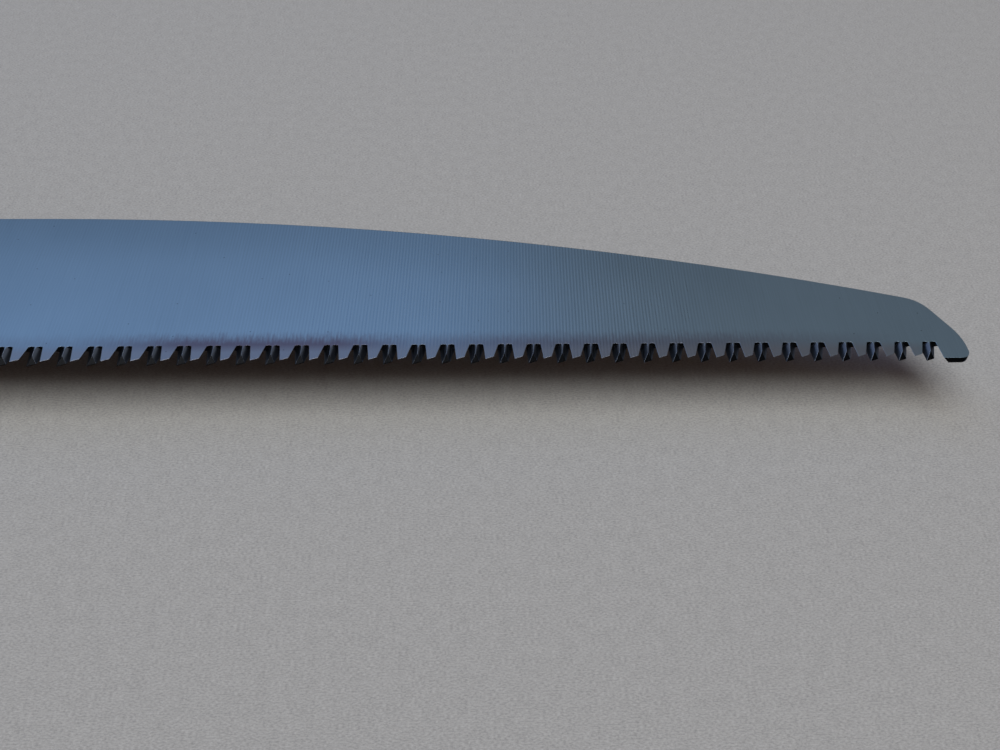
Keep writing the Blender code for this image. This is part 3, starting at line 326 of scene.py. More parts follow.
def groundSteelWithShade(tree, look, fromPivot, split):
    # lines, fine scratches and slow clouds added up, less painted shade at the back, run from dark to pale
    # steel
    lean = (0, 0, math.radians(look["lineLeanDeg"]))
    across = addNode(tree, "Mapping", {"Vector": fromPivot.outputs["Vector"], "Rotation": lean})
    # a wave repeats every pi / 10 units of its scaled coordinate, so the scale is 0.1 pi over the spacing
    ripple = addNode(tree, "TexWave", {
        "Vector": across.outputs["Vector"], "Scale": 0.1 * math.pi / (look["lineMm"] * mm),
        "Distortion": look["lineWaver"], "Detail": 1, "Detail Scale": 0.15},
        wave_type="BANDS", bands_direction="X")
    upFrom, upTo = look["lineFrom"]
    downFrom, downTo = look["lineTo"]
    lineUp = addNode(tree, "MapRange", {
        "Value": split.outputs["X"], "From Min": upFrom * mm, "From Max": upTo * mm,
        "To Min": look["lineDepth"][0], "To Max": look["lineDepth"][1]})
    lineDown = addNode(tree, "MapRange", {
        "Value": split.outputs["X"], "From Min": downFrom * mm, "From Max": downTo * mm,
        "To Min": 1.0, "To Max": look["lineLeft"]})
    lineDepth = addNode(tree, "Math", {
        0: lineUp.outputs["Result"], 1: lineDown.outputs["Result"]}, operation="MULTIPLY")
    stretch = addNode(tree, "Mapping", {
        "Vector": fromPivot.outputs["Vector"], "Rotation": lean,
        "Scale": (1 / (look["scratchMm"] * mm), 1 / (look["scratchLengthMm"] * mm), 1)})
    scratch = addNode(tree, "TexNoise", {"Vector": stretch.outputs["Vector"], "Scale": 1, "Detail": 2})
    cloud = addNode(tree, "TexNoise", {
        "Vector": fromPivot.outputs["Vector"], "Scale": 1 / (look["cloudMm"] * mm), "Detail": 3})
    lines = addNode(tree, "Math", {
        0: ripple.outputs["Fac"], 1: -0.5}, operation="ADD")  # centred, so that fading lines keep the mean tone
    fine = addNode(tree, "Math", {
        0: scratch.outputs["Fac"], 1: look["scratchDepth"]}, operation="MULTIPLY")
    ground = addNode(tree, "Math", {
        0: lines.outputs[0], 1: lineDepth.outputs[0], 2: fine.outputs[0]}, operation="MULTIPLY_ADD")
    mixed = addNode(tree, "Math", {
        0: cloud.outputs["Fac"], 1: look["cloudDepth"], 2: ground.outputs[0]}, operation="MULTIPLY_ADD")

    # the painted shade follows the back, whose height over the gullets is read off the blade's outline at a few
    # places
    back = backHeights(look)
    highest = back[:, 1].max()
    backLine = alongBlade(tree, split, (back / (1, highest)).tolist())
    backY = addNode(tree, "Math", {
        0: backLine.outputs["Color"], 1: highest * mm, 2: look["gulletY"] * mm}, operation="MULTIPLY_ADD")
    under = addNode(tree, "Math", {0: backY.outputs[0], 1: split.outputs["Y"]}, operation="SUBTRACT")
    # painted shade: darker towards the back edge, where the back mirrors less light
    paintedShadeBand = addNode(tree, "MapRange", {
        "Value": under.outputs[0], "From Min": 0.0, "From Max": look["backMm"] * mm,
        "To Min": look["backPaintedShade"], "To Max": 0.0}, interpolation_type="SMOOTHSTEP")
    paintedShadeDepth = addNode(tree, "Math", {
        0: paintedShadeBand.outputs["Result"], 1: lineDown.outputs["Result"]}, operation="MULTIPLY")
    toned = addNode(tree, "Math", {0: mixed.outputs[0], 1: paintedShadeDepth.outputs[0]}, operation="SUBTRACT")
    darkAt, paleAt = look["steelRange"]
    steel = addNode(tree, "ValToRGB", {"Fac": toned.outputs[0]}, stops=[
        (darkAt, hexLinear(look["steelDark"])), (paleAt, hexLinear(look["steel"]))])
    return steel, ground


def heatTint(tree, look, fromPivot, split, steel):
    # full at the gullets, gone a few mm above them, its edge torn by streaks along the grinding
    gullet = look["gulletY"] * mm
    streakWide, streakLong = look["streakMm"]
    streak = addNode(tree, "Mapping", {
        "Vector": fromPivot.outputs["Vector"], "Rotation": (0, 0, math.radians(look["lineLeanDeg"])),
        "Scale": (1 / (streakWide * mm), 1 / (streakLong * mm), 1)})
    blotch = addNode(tree, "TexNoise", {
        "Vector": streak.outputs["Vector"], "Scale": 1, "Detail": 5, "Roughness": 0.65})
    torn = addNode(tree, "Math", {
        0: blotch.outputs["Fac"], 1: -look["tornMm"] * mm, 2: split.outputs["Y"]}, operation="MULTIPLY_ADD")
    fullAt, goneAt = (gullet + (high - look["tornMm"] / 2) * mm for high in look["tintMm"])
    height = addNode(tree, "MapRange", {
        "Value": torn.outputs[0], "From Min": fullAt, "From Max": goneAt,
        "To Min": look["tintDepth"], "To Max": 0.0}, interpolation_type="SMOOTHSTEP")
    along = alongBlade(tree, split, look["tintAlong"])
    mask = addNode(tree, "Math", {
        0: height.outputs["Result"], 1: along.outputs["Color"]}, operation="MULTIPLY")
    return addNode(tree, "Mix", {
        0: mask.outputs[0], 6: steel.outputs["Color"], 7: hexLinear(look["tint"])}, data_type="RGBA")


def toothFaces(tree, look, split, tinted):
    # a plainer grey below the gullets, as far as the teeth go
    fullAt, goneAt = ((look["gulletY"] + high) * mm for high in look["toothMm"])
    onTooth = addNode(tree, "MapRange", {
        "Value": split.outputs["Y"], "From Min": fullAt, "From Max": goneAt,
        "To Min": look["toothDepth"], "To Max": 0.0})
    landFrom, landTo = look["landMm"]
    toothed = addNode(tree, "MapRange", {
        "Value": split.outputs["X"], "From Min": landFrom * mm, "From Max": landTo * mm,
        "To Min": 1.0, "To Max": 0.0})
    mask = addNode(tree, "Math", {
        0: onTooth.outputs["Result"], 1: toothed.outputs["Result"]}, operation="MULTIPLY")
    return addNode(tree, "Mix", {
        0: mask.outputs[0], 6: tinted.outputs[2], 7: hexLinear(look["toothFace"])}, data_type="RGBA")


def oxideSpecks(tree, look, fromPivot, face):
    # a dot at the middle of some of the cells of a random mosaic
    cells = addNode(tree, "TexVoronoi", {
        "Vector": fromPivot.outputs["Vector"], "Scale": 1 / (look["speckMm"] * mm)}, voronoi_dimensions="2D")
    kept = addNode(tree, "SeparateColor", {"Color": cells.outputs["Color"]})
    chosen = addNode(tree, "Math", {
        0: kept.outputs["Red"], 1: look["speckAbove"]}, operation="GREATER_THAN")
    dotSize = look["speckRadiusMm"] / look["speckMm"]
    dot = addNode(tree, "MapRange", {
        "Value": cells.outputs["Distance"], "From Min": look["speckCore"] * dotSize, "From Max": dotSize,
        "To Min": look["speckDepth"], "To Max": 0.0})
    mask = addNode(tree, "Math", {0: dot.outputs["Result"], 1: chosen.outputs[0]}, operation="MULTIPLY")
    return addNode(tree, "Mix", {
        0: mask.outputs[0], 6: face.outputs[2], 7: hexLinear(look["edge"])}, data_type="RGBA")


def paintShadeOnEdges(tree, look, where, face):
    # painted shade darkens faces steep to the blade's face, and painted shadow blackens those looking down the
    # teeth
    facing = addNode(tree, "SeparateXYZ", {"Vector": where.outputs["Normal"]})
    upright = addNode(tree, "Math", {0: facing.outputs["Z"]}, operation="ABSOLUTE")
    steepAt, flatAt = look["flankZ"]
    steep = addNode(tree, "MapRange", {
        "Value": upright.outputs[0], "From Min": steepAt, "From Max": flatAt, "To Min": 1.0, "To Max": 0.0})
    paintedFlankShade = addNode(tree, "Mix", {
        0: steep.outputs["Result"], 6: face.outputs[2], 7: hexLinear(look["paintedFlankShade"])}, data_type="RGBA")
    downAt, levelAt = look["edgeY"]
    downward = addNode(tree, "MapRange", {
        "Value": facing.outputs["Y"], "From Min": downAt, "From Max": levelAt, "To Min": 1.0, "To Max": 0.0})
    return addNode(tree, "Mix", {
        0: downward.outputs["Result"], 6: paintedFlankShade.outputs[2], 7: hexLinear(look["edge"])}, data_type="RGBA")


def bladeMaterial(look):
    # patterns measured from the pivot, laid over one another from the steel up, on bright rounded metal
    material, tree = newMaterial("saw_steel_cross_ground")
    where = addNode(tree, "TexCoord")
    fromPivot = addNode(tree, "Mapping", {"Vector": where.outputs["Object"], "Location": -pivot})
    split = addNode(tree, "SeparateXYZ", {"Vector": fromPivot.outputs["Vector"]})
    steel, ground = groundSteelWithShade(tree, look, fromPivot, split)
    tinted = heatTint(tree, look, fromPivot, split, steel)
    face = oxideSpecks(tree, look, fromPivot, toothFaces(tree, look, split, tinted))
    colour = paintShadeOnEdges(tree, look, where, face)
    low, high = look["groundRange"]
    smoother, rougher = look["roughSpread"]
    rough = addNode(tree, "MapRange", {
        "Value": ground.outputs[0], "From Min": low, "From Max": high,
        "To Min": look["roughness"] + smoother, "To Max": look["roughness"] + rougher})
    ridge = addNode(tree, "Bevel", {"Radius": look["ridgeMm"] * mm}, samples=6)
    bump = addNode(tree, "Bump", {
        "Height": ground.outputs[0], "Strength": look["bumpStrength"], "Distance": look["bumpMm"] * mm,
        "Normal": ridge.outputs["Normal"]})
    shader = addNode(tree, "BsdfPrincipled", {
        "Base Color": colour.outputs[2], "Metallic": 1.0, "Roughness": rough.outputs["Result"],
        "Specular Tint": hexLinear(look["glance"]), "Normal": bump.outputs["Normal"]})
    addNode(tree, "OutputMaterial", {"Surface": shader.outputs["BSDF"]})
    return material


dress(bladeMaterial(bladeLook), "blade")
print("blade dressed")


# metals of the frame and fasteners

plateLook = {  # spring steel plate, stamped and tumbled: satin gunmetal, brighter where the edges rub
    "name": "spring_steel_tumbled", "base": "#54585C", "dark": "#46494D", "worn": "#8B8F92",
    "grainMm": 0.25, "cloudMm": 9, "wearMm": 0.5, "roughness": 0.4, "bumpMm": 0.01}
fastenerLook = {  # zinc-plated turned steel: pale cool grey, cloudy, with bright corners
    "name": "steel_zinc_plated", "base": "#A9ACAD", "dark": "#8C9092", "worn": "#C9CBCB",
    "grainMm": 0.18, "cloudMm": 2.5, "wearMm": 0.3, "roughness": 0.3, "bumpMm": 0.006}
springLook = {  # blued spring steel: dark blue-grey, smooth
    "name": "spring_steel_blued", "base": "#3D4450", "dark": "#31363F", "worn": "#717780",
    "grainMm": 0.2, "cloudMm": 5, "wearMm": 0.25, "roughness": 0.32, "bumpMm": 0.006}
bronzeLook = {  # sintered bronze, soaked in oil: dull brown-gold, finely pitted
    "name": "bronze_sintered", "base": "#A17C4A", "dark": "#7D5E36", "worn": "#C2A06A",
    "grainMm": 0.12, "cloudMm": 1.5, "wearMm": 0.2, "roughness": 0.45, "bumpMm": 0.02}
metalFinish = {  # shared by the four metals
    "cloudDepth": 1.2,  # beside the grain
    "mottleRange": (0.8, 1.0),  # of grain and clouds together, from dark to base colour
    "roughRange": (0.7, 1.5),
    "roughSpread": (-0.06, 0.1),
    "unevenDepth": 0.12,
    "wear": 0.8,
    "bumpStrength": 0.25,
}
agreement = (0.9, 1.03)  # of rounded and true normal, from worn edges to untouched faces


def rubbedEdges(tree, look, finish, uneven):
    # worn where a normal rounded over wearMm leaves the true one, with an uneven border
    rounded = addNode(tree, "Bevel", {"Radius": look["wearMm"] * mm}, samples=4)
    surface = addNode(tree, "NewGeometry")
    agree = addNode(tree, "VectorMath", {
        0: rounded.outputs["Normal"], 1: surface.outputs["Normal"]}, operation="DOT_PRODUCT")
    rubbed = addNode(tree, "Math", {
        0: uneven.outputs["Fac"], 1: finish["unevenDepth"], 2: agree.outputs["Value"]},
        operation="MULTIPLY_ADD")
    return addNode(tree, "MapRange", {
        "Value": rubbed.outputs[0], "From Min": agreement[0], "From Max": agreement[1],
        "To Min": finish["wear"], "To Max": 0.0})


def metalMaterial(look, finish):
    # mottled base, brighter where edges rub, grain in roughness and bump
    material, tree = newMaterial(look["name"])
    where = addNode(tree, "TexCoord")
    grain = addNode(tree, "TexNoise", {
        "Vector": where.outputs["Object"], "Scale": 1 / (look["grainMm"] * mm), "Detail": 4, "Roughness": 0.6})
    cloud = addNode(tree, "TexNoise", {
        "Vector": where.outputs["Object"], "Scale": 1 / (look["cloudMm"] * mm), "Detail": 3})
    mottle = addNode(tree, "Math", {
        0: cloud.outputs["Fac"], 1: finish["cloudDepth"], 2: grain.outputs["Fac"]}, operation="MULTIPLY_ADD")
    darkAt, baseAt = finish["mottleRange"]
    base = addNode(tree, "ValToRGB", {"Fac": mottle.outputs[0]}, stops=[
        (darkAt, hexLinear(look["dark"])), (baseAt, hexLinear(look["base"]))])
    wear = rubbedEdges(tree, look, finish, grain)
    colour = addNode(tree, "Mix", {
        0: wear.outputs["Result"], 6: base.outputs["Color"], 7: hexLinear(look["worn"])}, data_type="RGBA")
    low, high = finish["roughRange"]
    smoother, rougher = finish["roughSpread"]
    rough = addNode(tree, "MapRange", {
        "Value": mottle.outputs[0], "From Min": low, "From Max": high,
        "To Min": look["roughness"] + smoother, "To Max": look["roughness"] + rougher})
    bump = addNode(tree, "Bump", {
        "Height": grain.outputs["Fac"], "Strength": finish["bumpStrength"], "Distance": look["bumpMm"] * mm})
    shader = addNode(tree, "BsdfPrincipled", {
        "Base Color": colour.outputs[2], "Metallic": 1.0, "Roughness": rough.outputs["Result"],
        "Normal": bump.outputs["Normal"]})
    addNode(tree, "OutputMaterial", {"Surface": shader.outputs["BSDF"]})
    return material


# mouldings

gripLook = {  # glass-filled nylon from a spark-eroded mould: charcoal, fine pebble grain, edges rubbed smooth
    "name": "nylon_glass_filled_spark_eroded", "base": "#33363A", "dark": "#292B2E", "worn": "#4A4D51",
    "grainMm": 0.7, "cloudMm": 18, "wearMm": 0.8, "roughness": 0.5, "bumpMm": 0.3, "ior": 1.53}
softLook = {  # thermoplastic rubber, matt mould: mid grey with a dry bloom, very fine grain
    "name": "rubber_moulded_matt", "base": "#5A5E62", "dark": "#4D5155", "worn": "#71757A",
    "grainMm": 0.45, "cloudMm": 12, "wearMm": 0.4, "roughness": 0.78, "bumpMm": 0.12, "ior": 1.5}
spacerLook = {  # black nylon, plain moulded: nearly black with a soft shine
    "name": "nylon_moulded_black", "base": "#1E2023", "dark": "#17181A", "worn": "#2C2F32",
    "grainMm": 0.4, "cloudMm": 10, "wearMm": 0.4, "roughness": 0.45, "bumpMm": 0.02, "ior": 1.53}
padLook = {  # acetal, moulded: dark grey, slick, thumb-polished edges
    "name": "acetal_moulded", "base": "#45494E", "dark": "#3B3E42", "worn": "#5E6368",
    "grainMm": 0.35, "cloudMm": 8, "wearMm": 0.5, "roughness": 0.42, "bumpMm": 0.03, "ior": 1.48}
mouldFinish = {  # shared by the four mouldings
    "pebbleDepth": 0.5,  # beside the clouds
    "driftRange": (0.55, 0.95),  # of pebbles and clouds together, from dark to base colour
    "polish": 0.15,  # roughness that rubbing takes off
    "unevenDepth": 0.1,
    "wear": 0.7,
    "bumpStrength": 0.6,
}


def mouldedMaterial(look, finish):
    # the mould's pebble grain as bump, slow colour drift, rubbed edges lighter and smoother
    material, tree = newMaterial(look["name"])
    where = addNode(tree, "TexCoord")
    pebble = addNode(tree, "TexNoise", {
        "Vector": where.outputs["Object"], "Scale": 1 / (look["grainMm"] * mm), "Detail": 3, "Roughness": 0.55})
    cloud = addNode(tree, "TexNoise", {
        "Vector": where.outputs["Object"], "Scale": 1 / (look["cloudMm"] * mm), "Detail": 4})
    drift = addNode(tree, "Math", {
        0: pebble.outputs["Fac"], 1: finish["pebbleDepth"], 2: cloud.outputs["Fac"]}, operation="MULTIPLY_ADD")
    darkAt, baseAt = finish["driftRange"]
    base = addNode(tree, "ValToRGB", {"Fac": drift.outputs[0]}, stops=[
        (darkAt, hexLinear(look["dark"])), (baseAt, hexLinear(look["base"]))])
    wear = rubbedEdges(tree, look, finish, cloud)
    colour = addNode(tree, "Mix", {
        0: wear.outputs["Result"], 6: base.outputs["Color"], 7: hexLinear(look["worn"])}, data_type="RGBA")
    rough = addNode(tree, "MapRange", {
        "Value": wear.outputs["Result"], "From Min": 0.0, "From Max": 1.0,
        "To Min": look["roughness"], "To Max": look["roughness"] - finish["polish"]})
    bump = addNode(tree, "Bump", {
        "Height": pebble.outputs["Fac"], "Strength": finish["bumpStrength"], "Distance": look["bumpMm"] * mm})
    shader = addNode(tree, "BsdfPrincipled", {
        "Base Color": colour.outputs[2], "Roughness": rough.outputs["Result"], "IOR": look["ior"],
        "Normal": bump.outputs["Normal"]})
    addNode(tree, "OutputMaterial", {"Surface": shader.outputs["BSDF"]})
    return material


plateSteel, zincSteel, bluedSteel, oiledBronze = (
    metalMaterial(look, metalFinish) for look in (plateLook, fastenerLook, springLook, bronzeLook))
gripNylon, softRubber, blackNylon, padAcetal = (
    mouldedMaterial(look, mouldFinish) for look in (gripLook, softLook, spacerLook, padLook))
dress(plateSteel, "lock_lever")
dress(bluedSteel, "lock_spring")
dress(zincSteel, "spine_rivet_front", "spine_rivet_rear", "lever_pin")
dress(oiledBronze, "pivot_bush", "pivot_washer_left", "pivot_washer_right")
dress(blackNylon, "spine_spacer")
print("metals and mouldings made")


# shapes: each new piece is a grid of points in mm from the blade pivot, worked out as whole arrays

pivotMm = np.array(pivot) / mm
through = 20  # mm, past every piece on both sides
overFace = 2  # mm that a cutting shape stands over the face it cuts
noLimit = 99  # mm, wider than any turned piece
edgeUsed = 0.995  # most of an edge that the arcs at its two ends may take up
leastRadius = 0.05  # mm
mergeMm = 0.001
sharpDeg = 30  # edges that turn more than this stay crisp


def unit(vectors):  # each over its own length
    return vectors / np.linalg.norm(vectors, axis=-1, keepdims=True)


def nodeCentre(name):  # x and y of a CAD node's middle, in mm from the pivot
    low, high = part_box(name)
    return (np.array(low) + np.array(high))[:2] / 2 / mm - pivotMm[:2]


def roundCorners(corners, radii, steps):
    # rows of outlines: a corner becomes an arc that touches both edges at radius / tan(half its angle),
    # and where two arcs want more than their edge has, each keeps its share of the edge
    toLast = np.roll(corners, 1, axis=1) - corners
    toNext = np.roll(corners, -1, axis=1) - corners
    half = np.arccos((unit(toLast) * unit(toNext)).sum(axis=-1)) / 2
    reach = radii / np.tan(half)
    lastShare = edgeUsed * np.linalg.norm(toLast, axis=-1) / (reach + np.roll(reach, 1, axis=1))
    nextShare = edgeUsed * np.linalg.norm(toNext, axis=-1) / (reach + np.roll(reach, -1, axis=1))
    reach = reach * np.minimum(1, np.minimum(lastShare, nextShare))
    centre = corners + unit(unit(toLast) + unit(toNext)) * (reach / np.cos(half))[..., None]
    first = corners + unit(toLast) * reach[..., None] - centre
    last = corners + unit(toNext) * reach[..., None] - centre
    start = np.arctan2(first[..., 1], first[..., 0])
    sweep = (np.arctan2(last[..., 1], last[..., 0]) - start + math.pi) % (2 * math.pi) - math.pi
    angle = start[..., None] + sweep[..., None] * np.linspace(0, 1, steps + 1)
    spokes = np.stack((np.cos(angle), np.sin(angle)), axis=-1)
    arms = np.linalg.norm(first, axis=-1)[..., None, None] * spokes
    return (centre[:, :, None] + arms).reshape(len(corners), -1, 2)


def moveIn(corners, amounts):
    # edge i of (x, y, radius) corners moves inwards by amounts[:, i]: a corner goes where its moved edges
    # meet, and its radius loses the mean of the two amounts, or gains it in a hollow
    along = unit(np.roll(corners[:, :2], -1, axis=0) - corners[:, :2])
    inward = np.stack((-along[:, 1], along[:, 0]), axis=-1)
    lastAlong, lastInward = np.roll(along, 1, axis=0), np.roll(inward, 1, axis=0)
    lastAmounts = np.roll(amounts, 1, axis=1)
    bend = lastAlong[:, 0] * along[:, 1] - lastAlong[:, 1] * along[:, 0]
    start = corners[:, :2] + lastInward * lastAmounts[..., None]
    apart = corners[:, :2] + inward * amounts[..., None] - start
    run = (apart[..., 0] * along[:, 1] - apart[..., 1] * along[:, 0]) / bend
    radii = np.maximum(corners[:, 2] - np.sign(bend) * (amounts + lastAmounts) / 2, leastRadius)
    return start + lastAlong * run[..., None], radii


def flatRings(outlines, heights):  # each outline laid level at its height
    level = np.broadcast_to(np.array(heights, float)[:, None, None], (*outlines.shape[:2], 1))
    return np.concatenate((outlines, level), axis=-1)


def prismRings(corners, low, high, arcSteps=8):  # the same outline at two heights
    corners = np.array(corners, float)
    outline = roundCorners(corners[None, :, :2], corners[None, :, 2], arcSteps)
    return flatRings(np.repeat(outline, 2, axis=0), [low, high])


def rolledRings(corners, share, draw, rise, top, arcSteps=8, rollSteps=10):
    # turn runs from 0 at the wall to 90 degrees at the face: the outline is drawn in by
    # draw * (1 - cos turn) times each edge's share, and lies rise * (1 - sin turn) below the top
    turn = np.linspace(0, math.pi / 2, rollSteps + 1)
    outlines = roundCorners(*moveIn(corners, draw * (1 - np.cos(turn))[:, None] * share), arcSteps)
    return flatRings(outlines, top - rise * (1 - np.sin(turn)))


def turnedRings(centre, profile, count=72):
    # ring of each (radius, z) step, and with flats the reach at an angle is that of a polygon with its corners
    # at the radius, which a limit cuts to a circle, as a chamfer cuts the corners of a nut
    steps = [(*step, *(0, noLimit)[len(step) - 2:]) for step in profile]
    radius, height, flats, limit = (np.array(column, float)[:, None] for column in zip(*steps))
    angle = 2 * math.pi * np.arange(count) / count
    sector = 2 * math.pi / np.maximum(flats, 3)
    polygon = np.cos(sector / 2) / np.cos(angle % sector - sector / 2)
    reach = np.minimum(radius * np.where(flats > 0, polygon, 1), limit)
    level = np.broadcast_to(height, reach.shape)
    rings = np.stack((reach * np.cos(angle), reach * np.sin(angle), level), axis=-1)
    return rings + np.array((*centre, 0))


def ringMesh(name, rings, hollow=False):
    # faces between each ring and the next: a hollow body joins its last ring to the first, and others
    # get end caps
    rows, count = rings.shape[:2]
    index = np.arange(rows * count).reshape(rows, count)
    here, there = (index, np.roll(index, -1, axis=0)) if hollow else (index[:-1], index[1:])
    quads = np.stack((here, np.roll(here, -1, axis=1), np.roll(there, -1, axis=1), there), axis=-1)
    ends = [] if hollow else [index[0, ::-1].tolist(), index[-1].tolist()]
    mesh = bpy.data.meshes.new(name)
    points = (pivotMm + rings.reshape(-1, 3)) * mm
    mesh.from_pydata(points.tolist(), [], quads.reshape(-1, 4).tolist() + ends)
    bm = bmesh.new()
    bm.from_mesh(mesh)
    bmesh.ops.remove_doubles(bm, verts=bm.verts, dist=mergeMm * mm)
    bmesh.ops.recalc_face_normals(bm, faces=bm.faces)
    bm.to_mesh(mesh)
    bm.free()
    return mesh


def newObject(name, rings, hollow=False):
    piece = bpy.data.objects.new(name, ringMesh(name, rings, hollow))
    bpy.context.collection.objects.link(piece)
    return piece


def shapeBy(piece, operation, *tools):
    # cuts closed tools out of the piece, or joins them to it, and keeps the result as its mesh
    for rings in tools:
        tool = newObject("shapingTool", rings)
        change = piece.modifiers.new("shape", "BOOLEAN")
        change.operation, change.solver, change.object = operation, "EXACT", tool
        graph = bpy.context.evaluated_depsgraph_get()
        shaped = bpy.data.meshes.new_from_object(piece.evaluated_get(graph))
        piece.modifiers.clear()
        piece.data = shaped
        bpy.data.objects.remove(tool, do_unlink=True)


def finishPiece(piece, material, node, body="handle", edgeMm=0.0):
    piece.data.materials.clear()
    piece.data.materials.append(material)
    piece.data.shade_smooth()
    piece.data.set_sharp_from_angle(angle=math.radians(sharpDeg))
    if edgeMm:
        soft = piece.modifiers.new("softEdge", "BEVEL")
        soft.width, soft.segments = edgeMm * mm, 2
        soft.limit_method, soft.angle_limit = "ANGLE", math.radians(sharpDeg)
    piece.modifiers.new("evenNormals", "WEIGHTED_NORMAL").keep_sharp = True
    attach(piece, body)
    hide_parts(node)


# side plates and scales

handleShape = {
    "plate": np.array([  # x, y and corner radius in mm from the pivot, anticlockwise from the upper front
        (16.5, 28.4, 7), (-61, 24.95, 150), (-125, 24.15, 150), (-184.5, 20.95, 100), (-206.5, 17.45, 1),
        (-206.5, -17, 4), (-192.5, -12.8, 20), (-159.5, -12.5, 60), (-105, -9.5, 70), (-60, -12, 40),
        (-34, -9, 20), (-16, -15.8, 14), (10, -15.8, 13), (16.5, -5, 10)]),
    "plateIn": 1.7, "plateOut": 2.9,  # heights above the middle of the blade
    "plateEdge": 0.15, "scaleEdge": 0.25,  # softened edges
    "pinHoles": {
        "open_stop_pin": 1.3, "closed_stop_pin": 1.3, "lever_pin": 1.85, "pivot_bolt": 3.1,
        "spine_rivet_front": 1.7, "spine_rivet_rear": 1.7},
    "scaleIn": 3.2, "scaleOut": 11.5,
    "reveal": 0.8,  # how far the scales stand in from the plates
    "frontTopX": -19, "frontBottomX": -25.5,
    "rollDraw": 7.2, "rollRise": 6.6, "frontDraw": 4.5, "rearDraw": 0.4,
    "rearEdge": 4,  # which edge of a scale meets the end loop
    "recess": [  # dip for the thumb pad
        (-92.5, 48, 0.1), (-57.8, 21.95, 2), (-34.5, 21.95, 2), (0.2, 48, 0.1)],
    "screwHole": 1.85, "headSeat": 3.7, "headSink": 1.3, "headRim": 0.7, "nutSeat": 3.6, "nutFloor": 7.3,
}
inlayShape = {
    "outline": np.array([
        (-47, 9.5, 5), (-177.5, 7.3, 5), (-177.5, -4.5, 5), (-159.5, -4.5, 60), (-105, -1.5, 70),
        (-60, -4, 40), (-47, -2.5, 5)]),
    "gap": 0.3, "pocketDepth": 1.6, "pocketCut": 5, "sink": 0.1, "lift": 0.2,
    "ribPitch": 7.5, "grooveHalf": 0.78, "grooveFlat": 0.3, "grooveDepth": 0.7, "crown": 0.35,
    "leanDeg": 24, "edgeRound": 0.6,
    "along": 520, "across": 30,  # points each way
}
screws = [nodeCentre(f"handle_screw_{name}") for name in ("front", "middle", "rear")]


def holeRings(centre, radius, count=48):  # the same circle at both ends
    return turnedRings(centre, [(radius, -through), (radius, through)], count)


def makePlate(side, sign, shape):
    # one outline at two heights, with the dip and the holes cut through
    heights = sign * shape["plateIn"], sign * shape["plateOut"]
    plate = newObject(f"side_plate_{side}", prismRings(shape["plate"], *sorted(heights), arcSteps=14))
    shapeBy(plate, "DIFFERENCE", prismRings(shape["recess"], -through, through),
            *[holeRings(nodeCentre(name), radius) for name, radius in shape["pinHoles"].items()],
            *[holeRings(centre, shape["screwHole"]) for centre in screws])
    finishPiece(plate, plateSteel, f"liner_{side}", edgeMm=shape["plateEdge"])


def scaleCorners(shape):
    # the plate outline moved in, its front replaced by a slanted edge whose ends lie on the moved edges
    plate = shape["plate"]
    places, radii = moveIn(plate, np.full((1, len(plate)), shape["reveal"]))
    inner = np.column_stack((places[0], radii[0]))
    topY = np.interp(shape["frontTopX"], *inner[[1, 0], :2].T)
    bottomY = np.interp(shape["frontBottomX"], *inner[[-4, -3], :2].T)
    upper = shape["frontTopX"], topY, shape["frontDraw"]
    lower = shape["frontBottomX"], bottomY, shape["frontDraw"]
    return np.vstack((upper, inner[1:-3], lower))


def seatRings(centre, sign, shape):  # what is cut out of a scale for a screw's head or its nut
    hole, over = shape["screwHole"], shape["scaleOut"] + overFace
    if sign > 0:  # countersunk seat for a screw head, its cone at 45 degrees
        wide = shape["headSeat"]
        rim = shape["scaleOut"] - shape["headSink"] - shape["headRim"]
        return turnedRings(centre, [(hole, 0), (hole, rim - wide + hole), (wide, rim), (wide, over)])
    wide, floor = shape["nutSeat"], -shape["nutFloor"]  # six-sided pocket for a nut
    return turnedRings(centre, [(wide, -over, 6), (wide, floor, 6), (hole, floor), (hole, 0)])


def makeScale(side, sign, shape):
    # the outline rolled over at its rim, on a straight foot, less the dip, the pocket and the screw seats
    corners = scaleCorners(shape)
    share = np.ones(len(corners))
    share[shape["rearEdge"]] = shape["rearDraw"] / shape["rollDraw"]
    share[-1] = shape["frontDraw"] / shape["rollDraw"]
    rings = rolledRings(corners, share, shape["rollDraw"], shape["rollRise"], shape["scaleOut"],
                        arcSteps=12, rollSteps=14)
    foot = rings[:1] * (1, 1, 0) + (0, 0, shape["scaleIn"])
    scale = newObject(f"scale_{side}", np.vstack((foot, rings)) * (1, 1, sign))
    outline = inlayShape["outline"]
    places, radii = moveIn(outline, np.full((1, len(outline)), -inlayShape["gap"]))
    floor = shape["scaleOut"] - inlayShape["pocketDepth"]
    pocketCorners = np.column_stack((places[0], radii[0]))
    pocket = prismRings(pocketCorners, floor, floor + inlayShape["pocketCut"], arcSteps=12) * (1, 1, sign)
    shapeBy(scale, "DIFFERENCE", prismRings(shape["recess"], -through, through), pocket,
            *[seatRings(centre, sign, shape) for centre in screws])
    finishPiece(scale, gripNylon, f"grip_{side}", edgeMm=shape["scaleEdge"])


